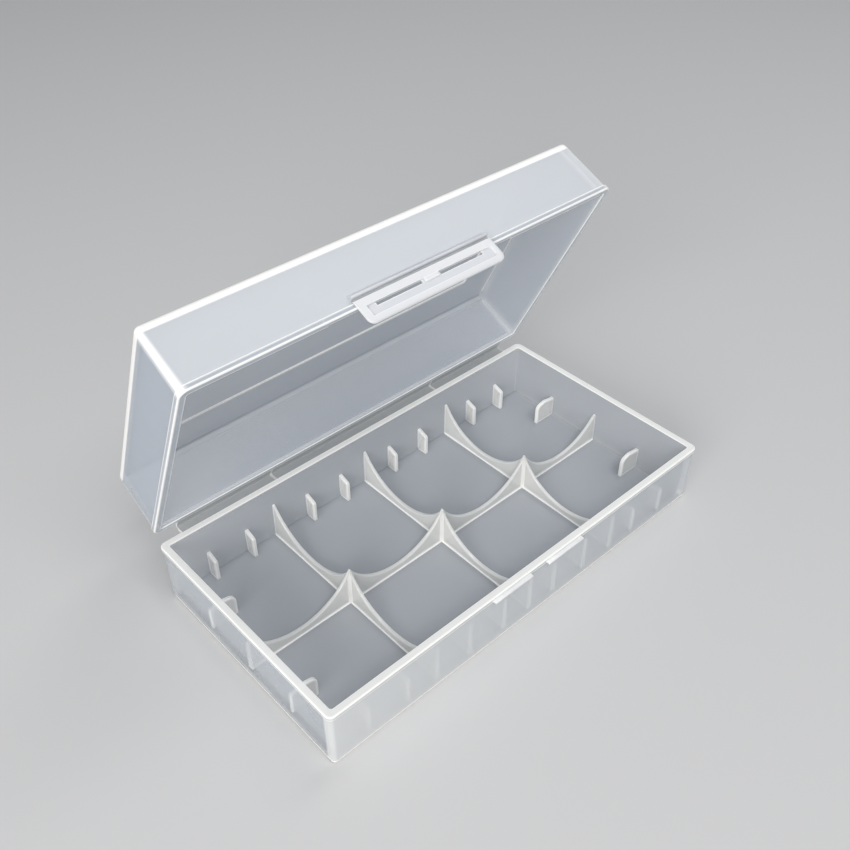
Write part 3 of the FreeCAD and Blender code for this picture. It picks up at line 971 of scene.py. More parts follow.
@dataclass
class Stops:
    """Small fins that centre the cells: upright ones on the long walls, long sloping ones on the
    front wall, and rounded ones on the end walls."""

    case: CaseSizes
    thickness: float = 1.15
    spacing: float = 13.0
    reach: float = 3.8
    height: float = 9.7
    tip_height: float = 8.3
    tip_round: float = 0.9
    end_reach: float = 8.0
    end_height: float = 9.0
    end_wall_height: float = 8.2
    end_crown_share: float = 0.55
    end_round: float = 2.2
    crown_round: float = 1.32
    gusset_height: float = 12.4
    gusset_reach: float = 8.2
    gusset_hollow: float = 0.45
    gusset_turn: float = 0.16
    toe_height: float = 0.25
    flat_inset: float = 1.0
    cell_pitch: float = 34.9
    row_pitch: float = 36.4
    inner_share: float = 0.47
    outer_share: float = 0.488
    bury: float = 0.35
    edge_turn: float = 0.18
    root_reach: float = 0.9
    free_share: float = 0.6
    end_share: float = 0.9

    def upright_outline(self) -> Array:
        """Side view of an upright fin on the back wall, as (y, z)."""
        root = float(self.case.inside[1])
        tip = root - self.reach
        line, _ = turned_line([
            (root + self.bury, self.case.floor - self.bury, 0.0),
            (tip, self.case.floor - self.bury, 0.0),
            (tip, self.tip_height, self.tip_round),
            (root + self.bury, self.height + self.bury * (self.height - self.tip_height) / self.reach, 0.0),
        ], closed=True)
        return line

    def gusset(self, name: str, place: float, finish: bpy.types.Material) -> bpy.types.Object:
        """A sloping fin on the front wall.

        Its top is the straight line from the wall down to the toe, sunk by 4 t (1 - t) times the
        hollow at share t of the reach.

        Args:
            name: name of the piece.
            place: middle of its thickness along X.
            finish: its material.

        Returns:
            The fin.
        """
        root = -float(self.case.inside[1])
        along = np.concatenate([[root - self.bury], np.linspace(root, root + self.gusset_reach, 40)])
        t = np.clip((along - root) / self.gusset_reach, 0.0, 1.0)
        drop = self.gusset_height - self.case.floor - self.toe_height
        hollow = self.gusset_hollow * math.hypot(drop, self.gusset_reach) / self.gusset_reach
        top = self.gusset_height - drop * t - 4 * t * (1 - t) * hollow
        section = RibSection(self.thickness, self.case.floor, self.bury, self.gusset_turn)
        loops, weights = section.loops(along, top, (root,))
        points = np.stack([place + loops[..., 1], loops[..., 0], loops[..., 2]], axis=-1)
        draft = Draft()
        draft.loft(points, weights)
        return draft.to_object(name, finish)

    def end_outline(self) -> Array:
        """Side view of a rounded fin on the right end wall, as (x, z)."""
        root = float(self.case.inside[0])
        crown = root - self.end_reach * self.end_crown_share
        line, _ = turned_line([
            (root + self.bury, self.case.floor - self.bury, 0.0),
            (root - self.end_reach, self.case.floor - self.bury, 0.0),
            (root - self.end_reach, self.end_wall_height, self.end_round),
            (crown, self.end_height, self.crown_round),
            (root + self.bury, self.end_wall_height, 0.0),
        ], closed=True)
        return line

    def fin(self, name: str, outline: Array, across_x: bool, place: float, way: float,
            finish: bpy.types.Material) -> bpy.types.Object:
        """One fin.

        Args:
            name: name of the piece.
            outline: its side view (count, 2).
            across_x: whether its thickness lies along X rather than Y.
            place: middle of its thickness.
            way: -1 to turn its side view over to the other wall, else 1.
            finish: its material.

        Returns:
            The fin.
        """
        loops, weights = plate_loops(outline, self.thickness / 2, self.edge_turn, self.flat_inset)
        root = float(self.case.inside[1 if across_x else 0])
        grown = np.maximum(falloff(loops[..., 0] - root, self.root_reach),
                           falloff(loops[..., 1] - self.case.floor, self.root_reach))
        share = self.free_share if across_x else self.end_share
        weights = np.maximum(share * weights, grown)
        side, level, across = way * loops[..., 0], loops[..., 1], place + loops[..., 2]
        order = (across, side, level) if across_x else (side, across, level)
        draft = Draft()
        draft.loft(np.stack(order, axis=-1), weights)
        return draft.to_object(name, finish)

    def build(self, finishes: Finishes) -> list[Piece]:
        """Make the eight back fins, four outer front fins, four sloping fins and four end fins.

        Args:
            finishes: the materials by name.

        Returns:
            Twenty pieces.
        """
        finish = finishes[FinishName.RIB]
        half = self.spacing / 2
        inner = self.inner_share * self.cell_pitch
        outer = self.cell_pitch + self.outer_share * (float(self.case.inside[0]) - self.cell_pitch)
        inner_places = [-inner - half, -inner + half, inner - half, inner + half]
        outer_places = [-outer - half, -outer + half, outer - half, outer + half]
        upright = self.upright_outline()
        pieces: list[Piece] = []
        for number, place in enumerate(sorted(inner_places + outer_places), 1):
            body = self.fin(f"back_fin_{number}", upright, True, place, 1.0, finish)
            pieces.append(Piece(body, Zone.TRAY, (f"back_stop_{number}",)))
        for number, place in enumerate(outer_places, 1):
            body = self.fin(f"front_fin_{number}", upright, True, place, -1.0, finish)
            pieces.append(Piece(body, Zone.TRAY, (f"front_stop_{number}",)))
        for number, place in enumerate(inner_places, 1):
            body = self.gusset(f"sloping_fin_{number}", place, finish)
            pieces.append(Piece(body, Zone.TRAY, (f"front_gusset_{number}",)))
        ends = self.end_outline()
        for side, way in (("left", -1.0), ("right", 1.0)):
            for row, place in (("back", self.row_pitch / 2), ("front", -self.row_pitch / 2)):
                body = self.fin(f"end_fin_{side}_{row}", ends, False, place, way, finish)
                pieces.append(Piece(body, Zone.TRAY, (f"end_stop_{side}_{row}",)))
        return pieces


@dataclass
class LidShell:
    """Lid: top with its shallow label panel, four leaning walls and the bead along the rim."""

    case: CaseSizes
    top_thickness: float = 1.3
    bead_height: float = 1.6
    draft: float = 0.4
    top_round: float = 1.6
    inner_fillet: float = 0.4
    relief_length: float = 61.4
    relief_depth: float = 0.5
    relief_height: float = 2.5
    panel_depth: float = 0.3
    panel_end_margin: float = 14.2
    panel_side_margin: float = 15.4
    panel_corner: float = 0.5
    step_run: float = 0.12
    edge_reach: float = 0.55
    # The top edge and the upright corners keep their whole milk over a stretch: partly the plastic's milk,
    # partly a painted highlight along these rounded edges.
    edge_hold: float = 0.9
    corner_weight: float = 0.95
    corner_hold: float = 0.45
    rim_milk: float = 0.2
    bead_milk: float = 0.2
    # Faint milk on the outer walls, partly painted light on the lit outside.
    outer_milk_and_light: float = 0.06
    # Painted shade over the inner walls and over the inner top and label panel.
    inner_painted_shade: float = 0.1
    top_painted_shade: float = 0.25
    # A painted shade line along the back's inner top edge.
    foot_painted_shade: float = 0.8
    rear_share: float = 0.45
    corner_shift: float = 0.4
    # Painted shade on the inner end walls.
    end_painted_shade: float = 0.3
    # A painted reflection on the outer front wall, widest in a band beside its right corner.
    front_painted_reflection: float = 0.46
    band_reach: float = 1.6
    band_fade: float = 0.5
    start_distance: float = 0.2
    end_distance: float = 0.03
    relief_reach: float = 0.5
    edge_zone: float = 1.0
    rear_zone: float = 3.0
    wall_margin: float = 0.5
    rim_zone: float = 0.05
    hair: float = 0.02

    @property
    def ceiling(self) -> float:
        """Height of the inner top when shut."""
        return self.case.lid_top - self.top_thickness

    @property
    def roof(self) -> float:
        """Height of the relief's upper edge when shut."""
        return self.case.lid_rim + self.relief_height

    def milked(self, rows: ShellRows) -> ShellRows:
        """Set how milky each stretch of the section is: most at the rim and bead, least inside, with
        painted shade over the inner walls and faint painted light on the outer walls.
        """
        case = self.case
        level, out = rows.height, rows.distance
        inner = (out < case.inside_round) & (level < self.ceiling - self.hair)
        # Painted shade over the inner walls.
        rows = rows.painted_face_shade(inner, self.inner_painted_shade)
        # Faint painted light on the outer walls, with their milk.
        rows = rows.tuned((out > case.outside_from) & (rows.upright > UPRIGHT), self.outer_milk_and_light)
        rows = rows.tuned(out > case.bead_from, self.bead_milk)
        return rows.tuned(level < case.lid_rim + self.rim_zone, self.rim_milk)

    def panel_rows(self) -> ShellRows:
        """Rows over the lid's inner top, down into the label panel and on to the middle, all under painted
        shade.
        """
        case, ceiling = self.case, self.ceiling
        near = ShellRows.level(case.axis, self.end_distance, ceiling, self.edge_reach, shares=(1.0,))
        margins = np.array([self.panel_end_margin, self.panel_side_margin])
        half = case.inside - margins - self.panel_corner
        offsets = np.array([0.75, 0.5, 0.15, 0.0, -0.06, -0.4, -0.65])
        drop = np.array([0.0, 0.0, 0.0, 0.0, 1.0, 1.0, 1.0])
        line = np.array([0.0, 0.5, 1.0, 1.0, 1.0, 1.0, 0.0])
        rim = ShellRows(np.broadcast_to(half, (len(offsets), 2)), self.panel_corner + offsets,
                        ceiling + self.panel_depth * drop, line, np.zeros(len(offsets)))
        inner = ShellRows.level(half, 0.0, ceiling + self.panel_depth, self.edge_reach,
                                insets=(0.4,), shares=(0.85, 0.6, 0.35, 0.15, 0.03))
        inner.weight[:] = 0.0
        near.weight[:] = 0.0
        rows = near.joined(rim, inner)
        # Painted shade over the whole inner top and label panel.
        return rows.painted_face_shade(rows.height > 0.0, self.top_painted_shade)

    def toned(self, points: Array, rows: ShellRows, weights: Array, inner_from: int,
              panel_from: int) -> Array:
        """Paint a dark shade line along the back's inner edge, leave the other inner edges plain under the
        top's painted shade, paint shade on the inner end walls, thin the milk near the back's outer top,
        and make the outer front wall milky with a painted reflection, most in a band beside its right
        corner.

        Args:
            points: the shell's points (rows, columns, 3), drawn shut.
            rows: the shell's rows.
            weights: the edge weights (rows, columns).
            inner_from: first row of the inner face.
            panel_from: first row of the label panel, which keeps its weights.

        Returns:
            The changed weights.
        """
        case, ceiling = self.case, self.ceiling
        back = points[..., 1] > case.axis[1]
        front = points[..., 1] < -case.axis[1]
        level = rows.height[:, None]
        number = np.arange(len(rows.height))[:, None]
        walls = (number >= inner_from) & (number < panel_from)
        inner = walls & (level > ceiling - self.edge_zone) & (level < ceiling + 0.01)
        edge = np.clip(weights, 0.0, 1.0)
        # Painted shade: a dark line along the back's inner edge, and elsewhere the top's painted shade
        # under a faint line.
        plain = 0.1 * edge - self.top_painted_shade
        line = np.where(back, -self.foot_painted_shade * edge ** 2, plain)
        toned = np.where(inner & (edge > 0), line, weights)
        # Painted shade on the inner end walls, between rim and top.
        between = (level > case.lid_rim + self.wall_margin) & (level < ceiling - self.wall_margin)
        ends = walls & between & (np.abs(points[..., 0]) > case.axis[0])
        toned = np.where(ends, np.minimum(toned, -self.end_painted_shade), toned)
        outer = number < inner_from
        rear = outer & back & (level > case.lid_top - self.rear_zone)
        toned = np.where(rear, self.rear_share * toned, toned)
        # A painted reflection on the outer front wall, strongest in a band beside its right corner.
        face = outer & front & (level > case.lid_rim + self.bead_height)
        short = case.axis[0] - self.band_reach - points[..., 0]
        band = self.corner_weight * falloff(short, self.band_fade)
        return np.where(face, np.maximum(toned, np.maximum(band, self.front_painted_reflection)), toned)

    def relieve(self, points: Array, rows: ShellRows, inner_from: int) -> tuple[Array, Array]:
        """Thin the front rim from inside, along the stretch that lies behind the latch.

        The inner face moves outward by the relief's depth times three shares, each from 0 to 1:
        along the rim, up the wall, and across the rim's top from its outer to its inner edge.

        Args:
            points: the shell's points (rows, columns, 3), drawn shut.
            rows: the shell's rows.
            inner_from: first row of the inner face.

        Returns:
            The moved points and the edge weight along the relief's own edges.
        """
        case = self.case
        x = points[..., 0]
        front = points[..., 1] < -case.axis[1]
        end, roof = self.relief_length / 2, self.roof
        along = np.clip((end - np.abs(x)) / self.step_run, 0.0, 1.0) * front
        up = np.clip((roof - rows.height) / self.step_run, 0.0, 1.0)
        over = np.clip((case.inside_round + case.wall - rows.distance) / case.wall, 0.0, 1.0)
        number = np.arange(len(rows.height))
        share = np.where(number >= inner_from, up, np.where(rows.height < case.lid_rim + 0.4, over, 0.0))
        moved = points.copy()
        moved[..., 1] -= self.relief_depth * along * share[:, None]
        inner = (number >= inner_from)[:, None] & (rows.height < roof + self.edge_zone)[:, None] & front
        beside = falloff(np.abs(x) - end, self.relief_reach) * (rows.height < roof + 0.1)[:, None]
        above = falloff(rows.height[:, None] - roof, self.relief_reach) * (np.abs(x) < end + 0.2)
        return moved, np.maximum(beside, above) * inner

    def build(self, finishes: Finishes) -> list[Piece]:
        """Make the lid as one closed surface, drawn shut and swung open.

        The section runs out over the top, down the outer wall and its bead, under the rim, up the
        inner wall and in over the label panel, and is carried round the case.

        Args:
            finishes: the materials by name.

        Returns:
            The lid's piece.
        """
        case = self.case
        side = case.corner - case.bead_proud
        bead_top = case.lid_rim + self.bead_height
        small = case.bead_round / 2
        top = ShellRows.level(case.axis, self.start_distance, case.lid_top, self.edge_reach).reversed()
        wall = ShellRows.wall([
            (self.start_distance, case.lid_top, 0.0),
            (side - self.draft, case.lid_top, self.top_round),
            (side, bead_top, small),
            (case.corner, bead_top, small),
            (case.corner, case.lid_rim, case.bead_round),
            (case.inside_round, case.lid_rim, small),
            (case.inside_round - self.draft, self.ceiling, self.inner_fillet),
            (-self.end_distance, self.ceiling, 0.0),
        ], case.axis, self.edge_reach, breaks=(self.roof, self.roof - self.step_run, self.roof + 0.3),
            holds=(0.0, self.edge_hold, 0.0, 0.0, 0.0, 0.0, 0.0, 0.0))
        shell = self.milked(top.joined(wall))
        rows = shell.joined(self.panel_rows())
        end = self.relief_length / 2
        marks = [way * (end + gap) for way in (-1, 1) for gap in (-0.6, -self.step_run, 0.0, 0.4)]
        marks.append(float(case.axis[0]) - self.band_reach - self.band_fade)
        plan = LoopPlan.make(case.axis, marks, hold=self.corner_hold)
        points, weights = rows.surface(plan, self.corner_weight, self.corner_shift, case.lid_rim,
                                       case.inside_round)
        lowest = int(np.argmin(rows.height + 1e-3 * rows.distance))
        weights = self.toned(points, rows, weights, lowest, len(shell.height))
        points, relief_edge = self.relieve(points, rows, lowest)
        draft = Draft()
        draft.loft(case.opened(points), stronger(weights, relief_edge))
        body = draft.to_object("lid_moulding", finishes[FinishName.LID_WALL])
        return [Piece(body, Zone.LID, ("lid_shell",))]


@dataclass
class LidHinge:
    """Living hinge along the back: two lands that meet at a thin web and fold face to face."""

    case: CaseSizes
    end_inset: float = 7.4
    land: float = 0.85
    nose: float = 0.3
    film: float = 0.5
    running_gap: float = 0.1
    bury: float = 0.3
    mark_place: float = 31.7
    mark_half: float = 0.35
    mark_edge: float = 0.1
    mark_milk: float = 0.5
    end_reach: float = 0.4
    end_step: float = 0.3
    runs: int = 24
    fold_half: float = 0.16

    def section(self) -> Array:
        """Closed section of the whole strip at rest, as (y, z)."""
        case = self.case
        y, z = case.hinge
        root = case.width / 2 - self.bury
        tip = y - self.film / 2 - self.running_gap
        gap = case.parting_gap / 2
        bevel = tip - (self.land - self.nose)
        face = np.array([[root, gap], [root + 0.6, gap], [tip - 0.4, gap], [tip, gap]])
        far = gap + self.land
        back = np.array([[tip, gap + self.nose], [bevel, far - 0.05], [bevel - 0.1, far],
                         [root + 0.6, far], [root, far]])
        lower_face = np.stack([face[:, 0], z - face[:, 1]], axis=1)
        lower_back = np.stack([back[:, 0], z - back[:, 1]], axis=1)
        upper_face, upper_back = (
            case.opened(np.stack([np.zeros(len(part)), part[:, 0], z + part[:, 1]], axis=1))[:, 1:]
            for part in (face, back))
        t = -math.radians(case.opening_degrees)
        angle = np.linspace(math.pi / 2 + 0.25 + t, -math.pi / 2 - 0.25, 9)
        web = np.array([y, z]) + self.film / 2 * np.stack([np.cos(angle), np.sin(angle)], axis=1)
        crease = np.array([[y - 0.12, z]])
        return np.concatenate([lower_face, crease, upper_face[::-1], upper_back[::-1], web, lower_back])

    def build(self, finishes: Finishes) -> list[Piece]:
        """Make the strip by carrying its section along the hinge axis.

        Args:
            finishes: the materials by name.

        Returns:
            One piece, which records its bend between the tray and the lid.
        """
        case = self.case
        half = case.length / 2 - self.end_inset
        wide = self.mark_half + self.mark_edge
        marks = [way * (self.mark_place + d) for way in (-1, 1)
                 for d in (-wide, -self.mark_half, self.mark_half, wide)]
        marks += [-half + self.end_step, half - self.end_step]
        stations = np.unique(np.concatenate([np.linspace(-half, half, self.runs + 1), marks]))
        y, z = self.section().T
        loops = np.stack(np.broadcast_arrays(stations[:, None], y[None], z[None]), axis=-1)
        end = falloff(half - np.abs(stations), self.end_reach)
        beside = np.abs(np.abs(stations) - self.mark_place)
        mark = (beside < self.mark_half + self.mark_edge / 2) * self.mark_milk
        weight = np.broadcast_to(np.maximum(end, mark)[:, None], loops.shape[:2]).copy()
        draft = Draft()
        draft.loft(loops, weight)
        body = draft.to_object("lid_hinge_strip", finishes[FinishName.HINGE])
        low = case.opened(np.array([[0.0, case.width / 2, case.hinge[1]]]))[0, 1:] - case.hinge
        way = low / np.linalg.norm(low) - np.array([-1.0, 0.0])
        way *= self.fold_half / np.linalg.norm(way)
        start, end_point = (case.hinge - way) * MM, (case.hinge + way) * MM
        bend = Bend(Zone.TRAY, Zone.LID, (0.0, float(start[0]), float(start[1])),
                    (0.0, float(end_point[0]), float(end_point[1])))
        nodes = ("tray_hinge_land", "lid_hinge_film", "lid_hinge_land")
        return [Piece(body, Zone.TRAY, nodes, bend)]


@dataclass
class Latch:
    """Snap latch: a land on the lid's front, a thin web, the slotted flap and the tray's two bars."""

    case: CaseSizes
    width: float = 45.3
    clearance: float = 0.1
    flap_thickness: float = 0.9
    flap_corner: float = 2.0
    flap_turn: float = 0.25
    hinge_height: float = 2.1
    hinge_inset: float = 0.15
    film: float = 0.4
    fold_half: float = 0.14
    groove_degrees: float = 38.0
    land_gap: float = 0.4
    land_face: float = 0.5
    land_ramp: float = 1.1
    slot_inner: float = 2.9
    slot_margin: float = 4.85
    slot_height: float = 1.0
    slot_drop: float = 2.8
    bridge_margin: float = 0.6
    recess_depth: float = 0.35
    recess_height: float = 2.2
    recess_round: float = 0.8
    side_border: float = 2.0
    foot_border: float = 1.8
    bar_inner_clearance: float = 0.2
    bar_outer_clearance: float = 0.5
    bar_lift: float = 0.15
    bar_play: float = 0.15
    bar_reach: float = 1.15
    bar_nose_rise: float = 0.1
    bar_nose_height: float = 0.45
    bar_nose_round: float = 0.15
    bury: float = 0.3
    land_milk: float = 0.6
    web_milk: float = 0.1
    border_milk: float = 0.74
    recess_milk: float = 0.55
    outline_reach: float = 1.1
    border_reach: float = 0.45
    slot_reaches: tuple[float, float] = (0.5, 0.4)
    recess_run: float = 0.1
    top_run: float = 1.2

    @property
    def inner_y(self) -> float:
        """The flap's inner face when shut."""
        return -self.case.width / 2 - self.clearance

    @property
    def outer_y(self) -> float:
        """The flap's outer face when shut."""
        return self.inner_y - self.flap_thickness

    @property
    def axis(self) -> Array:
        """The latch's hinge axis when shut, as (y, z)."""
        return np.array([self.inner_y - self.hinge_inset, self.case.lid_rim + self.hinge_height])

    @property
    def slot_top(self) -> float:
        """Upper edge of the slots when shut."""
        return float(self.axis[1]) - self.slot_drop

    @property
    def slot_foot(self) -> float:
        """Lower edge of the slots when shut."""
        return self.slot_top - self.slot_height

    @property
    def foot(self) -> float:
        """Free edge of the flap when shut."""
        return self.slot_foot - self.recess_height - self.foot_border

    def along_x(self, name: str, outline: Array, low: float, high: float, turn: float,
                finish: bpy.types.Material, swing: bool, milk: float = 1.0) -> bpy.types.Object:
        """A bar along X with turned ends.

        Args:
            name: name of the piece.
            outline: its side view (count, 2) as (y, z).
            low: its left end.
            high: its right end.
            turn: radius of its end edges.
            finish: its material.
            swing: whether it is drawn shut and swings open with the lid.
            milk: what its edge weights are multiplied by.

        Returns:
            The bar.
        """
        loops, weights = plate_loops(outline, (high - low) / 2, turn, turn + 0.12)
        points = np.stack([(low + high) / 2 + loops[..., 2], loops[..., 0], loops[..., 1]], axis=-1)
        draft = Draft()
        draft.loft(self.case.opened(points) if swing else points, milk * weights)
        return draft.to_object(name, finish)

    def land_outline(self) -> Array:
        """Side view of the land when shut, as (y, z)."""
        y, z = self.axis
        slope = math.tan(math.radians(self.groove_degrees))
        wall_y = -self.case.width / 2 + self.case.bead_proud
        root = wall_y + self.bury
        lip = z + (y - self.outer_y) * slope
        face_top = lip + self.land_face
        run_out = self.land_ramp / (wall_y - self.outer_y)
        line, _ = turned_line([
            (root, z + self.land_gap, 0.0),
            (y - self.land_gap / slope, z + self.land_gap, 0.0),
            (self.outer_y, lip, 0.1),
            (self.outer_y, face_top, 0.12),
            (root, face_top + (root - self.outer_y) * run_out, 0.0),
        ], closed=True)
        return line

    def bar_outline(self) -> Array:
        """Side view of a catch bar, as (y, z)."""
        face = -self.case.width / 2
        nose = face - self.bar_reach
        low = self.slot_foot + self.bar_lift
        nose_low = low + self.bar_nose_rise
        line, _ = turned_line([
            (face + self.bury, low, 0.0),
            (face, low, 0.0),
            (nose, nose_low, self.bar_nose_round),
            (nose, nose_low + self.bar_nose_height, self.bar_nose_round),
            (face, self.slot_top - self.bar_play, 0.0),
            (face + self.bury, self.slot_top - self.bar_play, 0.0),
        ], closed=True)
        return line

    def flap_draft(self) -> Draft:
        """The flap as two faces over one grid of x and z, joined round its outline and its slots.

        The outer face is sunk by the recess, and both faces turn in near the outline by
        r - sqrt(r^2 - (r - d)^2) at distance d. The square at each lower corner is mapped to a
        quarter disc: at larger share m and ratio q of its two shares, the point goes to radius m
        at angle q times 45 degrees from the nearer side.
        """
        half = self.width / 2
        y, z = self.axis
        slope = math.tan(math.radians(self.groove_degrees))
        front_top = z - (y - self.outer_y) * slope
        back_top = z - self.hinge_inset
        slot_outer = half - self.slot_margin
        recess_half = half - self.side_border
        recess_foot = self.foot + self.foot_border
        bridge = self.slot_inner - self.bridge_margin
        turn = self.flap_turn
        near = np.array([0.0, 0.04, 0.12, turn, 0.6, 1.1, 1.6])
        step = np.array([0.0, self.recess_run])
        ease = np.array([0.25, 0.5, 0.8])
        right = np.concatenate([half - near, recess_half - step, recess_half - ease,
                                slot_outer + np.array([0.0, 0.12, 0.4]), slot_outer - ease,
                                self.slot_inner + ease, self.slot_inner - np.array([0.0, 0.12]),
                                bridge + step, [bridge - 0.15], np.linspace(0.0, slot_outer, 9)])
        across = np.unique(np.round(np.concatenate([-right, right]), 4))
        up = np.unique(np.round(np.concatenate([
            self.foot + near, recess_foot + step, recess_foot + ease,
            self.slot_foot - np.array([0.3, 0.0]), [self.slot_foot + 0.3, self.slot_top - 0.3],
            self.slot_top - step, self.slot_top + np.array([0.15, 0.5, 1.2]),
            [front_top - 0.4, front_top - 0.1, front_top]]), 4))
        x, level = np.meshgrid(across, up)
        inside = np.minimum(half - np.abs(x), level - self.foot)
        u = np.clip((np.abs(x) - (half - self.flap_corner)) / self.flap_corner, 0.0, None)
        v = np.clip((self.foot + self.flap_corner - level) / self.flap_corner, 0.0, None)
        largest = np.maximum(u, v)
        ratio = np.minimum(u, v) / np.maximum(largest, 1e-9)
        angle = np.where(u >= v, math.pi / 4 * ratio, math.pi / 2 - math.pi / 4 * ratio)
        round_u = np.where((u > 0) & (v > 0), largest * np.cos(angle), u)
        round_v = np.where((u > 0) & (v > 0), largest * np.sin(angle), v)
        flat_x = np.sign(x) * (np.abs(x) + (round_u - u) * self.flap_corner)
        flat_z = level - (round_v - v) * self.flap_corner
        turned = turn - np.sqrt(np.clip(turn ** 2 - np.clip(turn - inside, 0.0, turn) ** 2, 0.0, None))
        side = np.abs(x) - (recess_half - self.recess_round)
        foot = (recess_foot + self.recess_round) - level
        head = level - (self.slot_top - self.recess_round)
        lift = np.maximum(foot, head)
        corner = np.hypot(np.clip(side, 0.0, None), np.clip(lift, 0.0, None))
        outside = np.where((side > 0) & (lift > 0), corner, np.maximum(side, lift)) - self.recess_round
        in_slot = np.minimum(level - self.slot_foot, self.slot_top - level)
        on_bridge = np.minimum(bridge - np.abs(x), in_slot)
        border = np.maximum(outside, on_bridge)
        sunk = self.recess_depth * np.clip(-border / self.recess_run, 0.0, 1.0)
        slot_x = np.maximum(self.slot_inner - np.abs(x), np.abs(x) - slot_outer)
        slot = np.maximum(slot_x, -in_slot)
        by_outline = falloff(inside, self.outline_reach)
        by_slot, by_slot_back = (falloff(slot, reach) for reach in self.slot_reaches)
        milk = np.where(border > 0, self.border_milk, self.recess_milk)
        front_edge = np.maximum.reduce([by_outline, falloff(border, self.border_reach), by_slot, milk])
        run_up = np.clip((level - (front_top - self.top_run)) / self.top_run, 0.0, 1.0)
        rise = run_up * (back_top - front_top)
        front = np.stack([flat_x, self.outer_y + turned + sunk, flat_z], axis=-1)
        back = np.stack([flat_x, self.inner_y - turned, flat_z + rise], axis=-1)
        draft = Draft()
        f = draft.add_points(self.case.opened(front), front_edge)
        b = draft.add_points(self.case.opened(back), np.maximum(by_outline, by_slot_back))
        mid_x = (x[:-1, :-1] + x[1:, 1:]) / 2
        mid_z = (level[:-1, :-1] + level[1:, 1:]) / 2
        kept = ~((np.abs(mid_x) > self.slot_inner) & (np.abs(mid_x) < slot_outer)
                 & (mid_z > self.slot_foot) & (mid_z < self.slot_top))
        front_cells, back_cells = (
            np.stack([n[:-1, :-1], n[:-1, 1:], n[1:, 1:], n[1:, :-1]], axis=-1)[kept] for n in (f, b))
        draft.quads += [front_cells, back_cells[:, ::-1]]
        padded = np.pad(kept, 1)
        sides = ((padded[:-2, 1:-1], (0, 0), (0, 1)), (padded[2:, 1:-1], (1, 1), (1, 0)),
                 (padded[1:-1, :-2], (1, 0), (0, 0)), (padded[1:-1, 2:], (0, 1), (1, 1)))
        rows, columns = np.indices(kept.shape)
        for neighbour, first, second in sides:
            open_side = kept & ~neighbour
            r, c = rows[open_side], columns[open_side]
            one, two = (r + first[0], c + first[1]), (r + second[0], c + second[1])
            draft.quads.append(np.stack([f[two], f[one], b[one], b[two]], axis=-1))
        return draft

    def build(self, finishes: Finishes) -> list[Piece]:
        """Make the land, the web, the flap and the two catch bars.

        Args:
            finishes: the materials by name.

        Returns:
            Five pieces.
        """
        finish = finishes[FinishName.LATCH]
        half = self.width / 2
        y, z = (float(v) for v in self.axis)
        land = self.along_x("latch_lip", self.land_outline(), -half, half, 0.12, finish, True,
                            self.land_milk)
        waist = self.film / 2
        across = [-waist, -waist, -waist * 0.8, -waist, -waist, 0.13, 0.13, waist * 0.8, waist, waist]
        up = [0.5, 0.25, 0.0, -0.2, -0.4, -0.4, -0.2, 0.0, 0.25, 0.5]
        web_line = np.stack([y + np.array(across), z + np.array(up)], axis=1)
        web = self.along_x("latch_web", web_line, -half + 0.15, half - 0.15, 0.03,
                           finishes[FinishName.HINGE], True, self.web_milk)
        folds = np.array([[0.0, y, z + self.fold_half], [0.0, y, z - self.fold_half]])
        start, end = (tuple(float(v) for v in point) for point in self.case.opened(folds) * MM)
        bend = Bend(Zone.LID, Zone.LATCH, start, end)
        flap = self.flap_draft().to_object("latch_plate", finish)
        low = self.slot_inner + self.bar_inner_clearance
        high = half - self.slot_margin - self.bar_outer_clearance
        outline, turn = self.bar_outline(), self.bar_nose_round
        right = self.along_x("catch_rail_right", outline, low, high, turn, finish, False)
        left = self.along_x("catch_rail_left", outline, -high, -low, turn, finish, False)
        return [
            Piece(land, Zone.LID, ("latch_land",)),
            Piece(web, Zone.LID, ("latch_hinge_film",), bend),
            Piece(flap, Zone.LATCH, ("latch_flap",)),
            Piece(right, Zone.TRAY, ("catch_bar_right",)),
            Piece(left, Zone.TRAY, ("catch_bar_left",)),
        ]


@dataclass(frozen=True)
class SocketPlan:
    """One named input of a shader group, with its kind and the value that it starts with."""

    name: str
    kind: str
    value: float | tuple[float, ...] | None = None


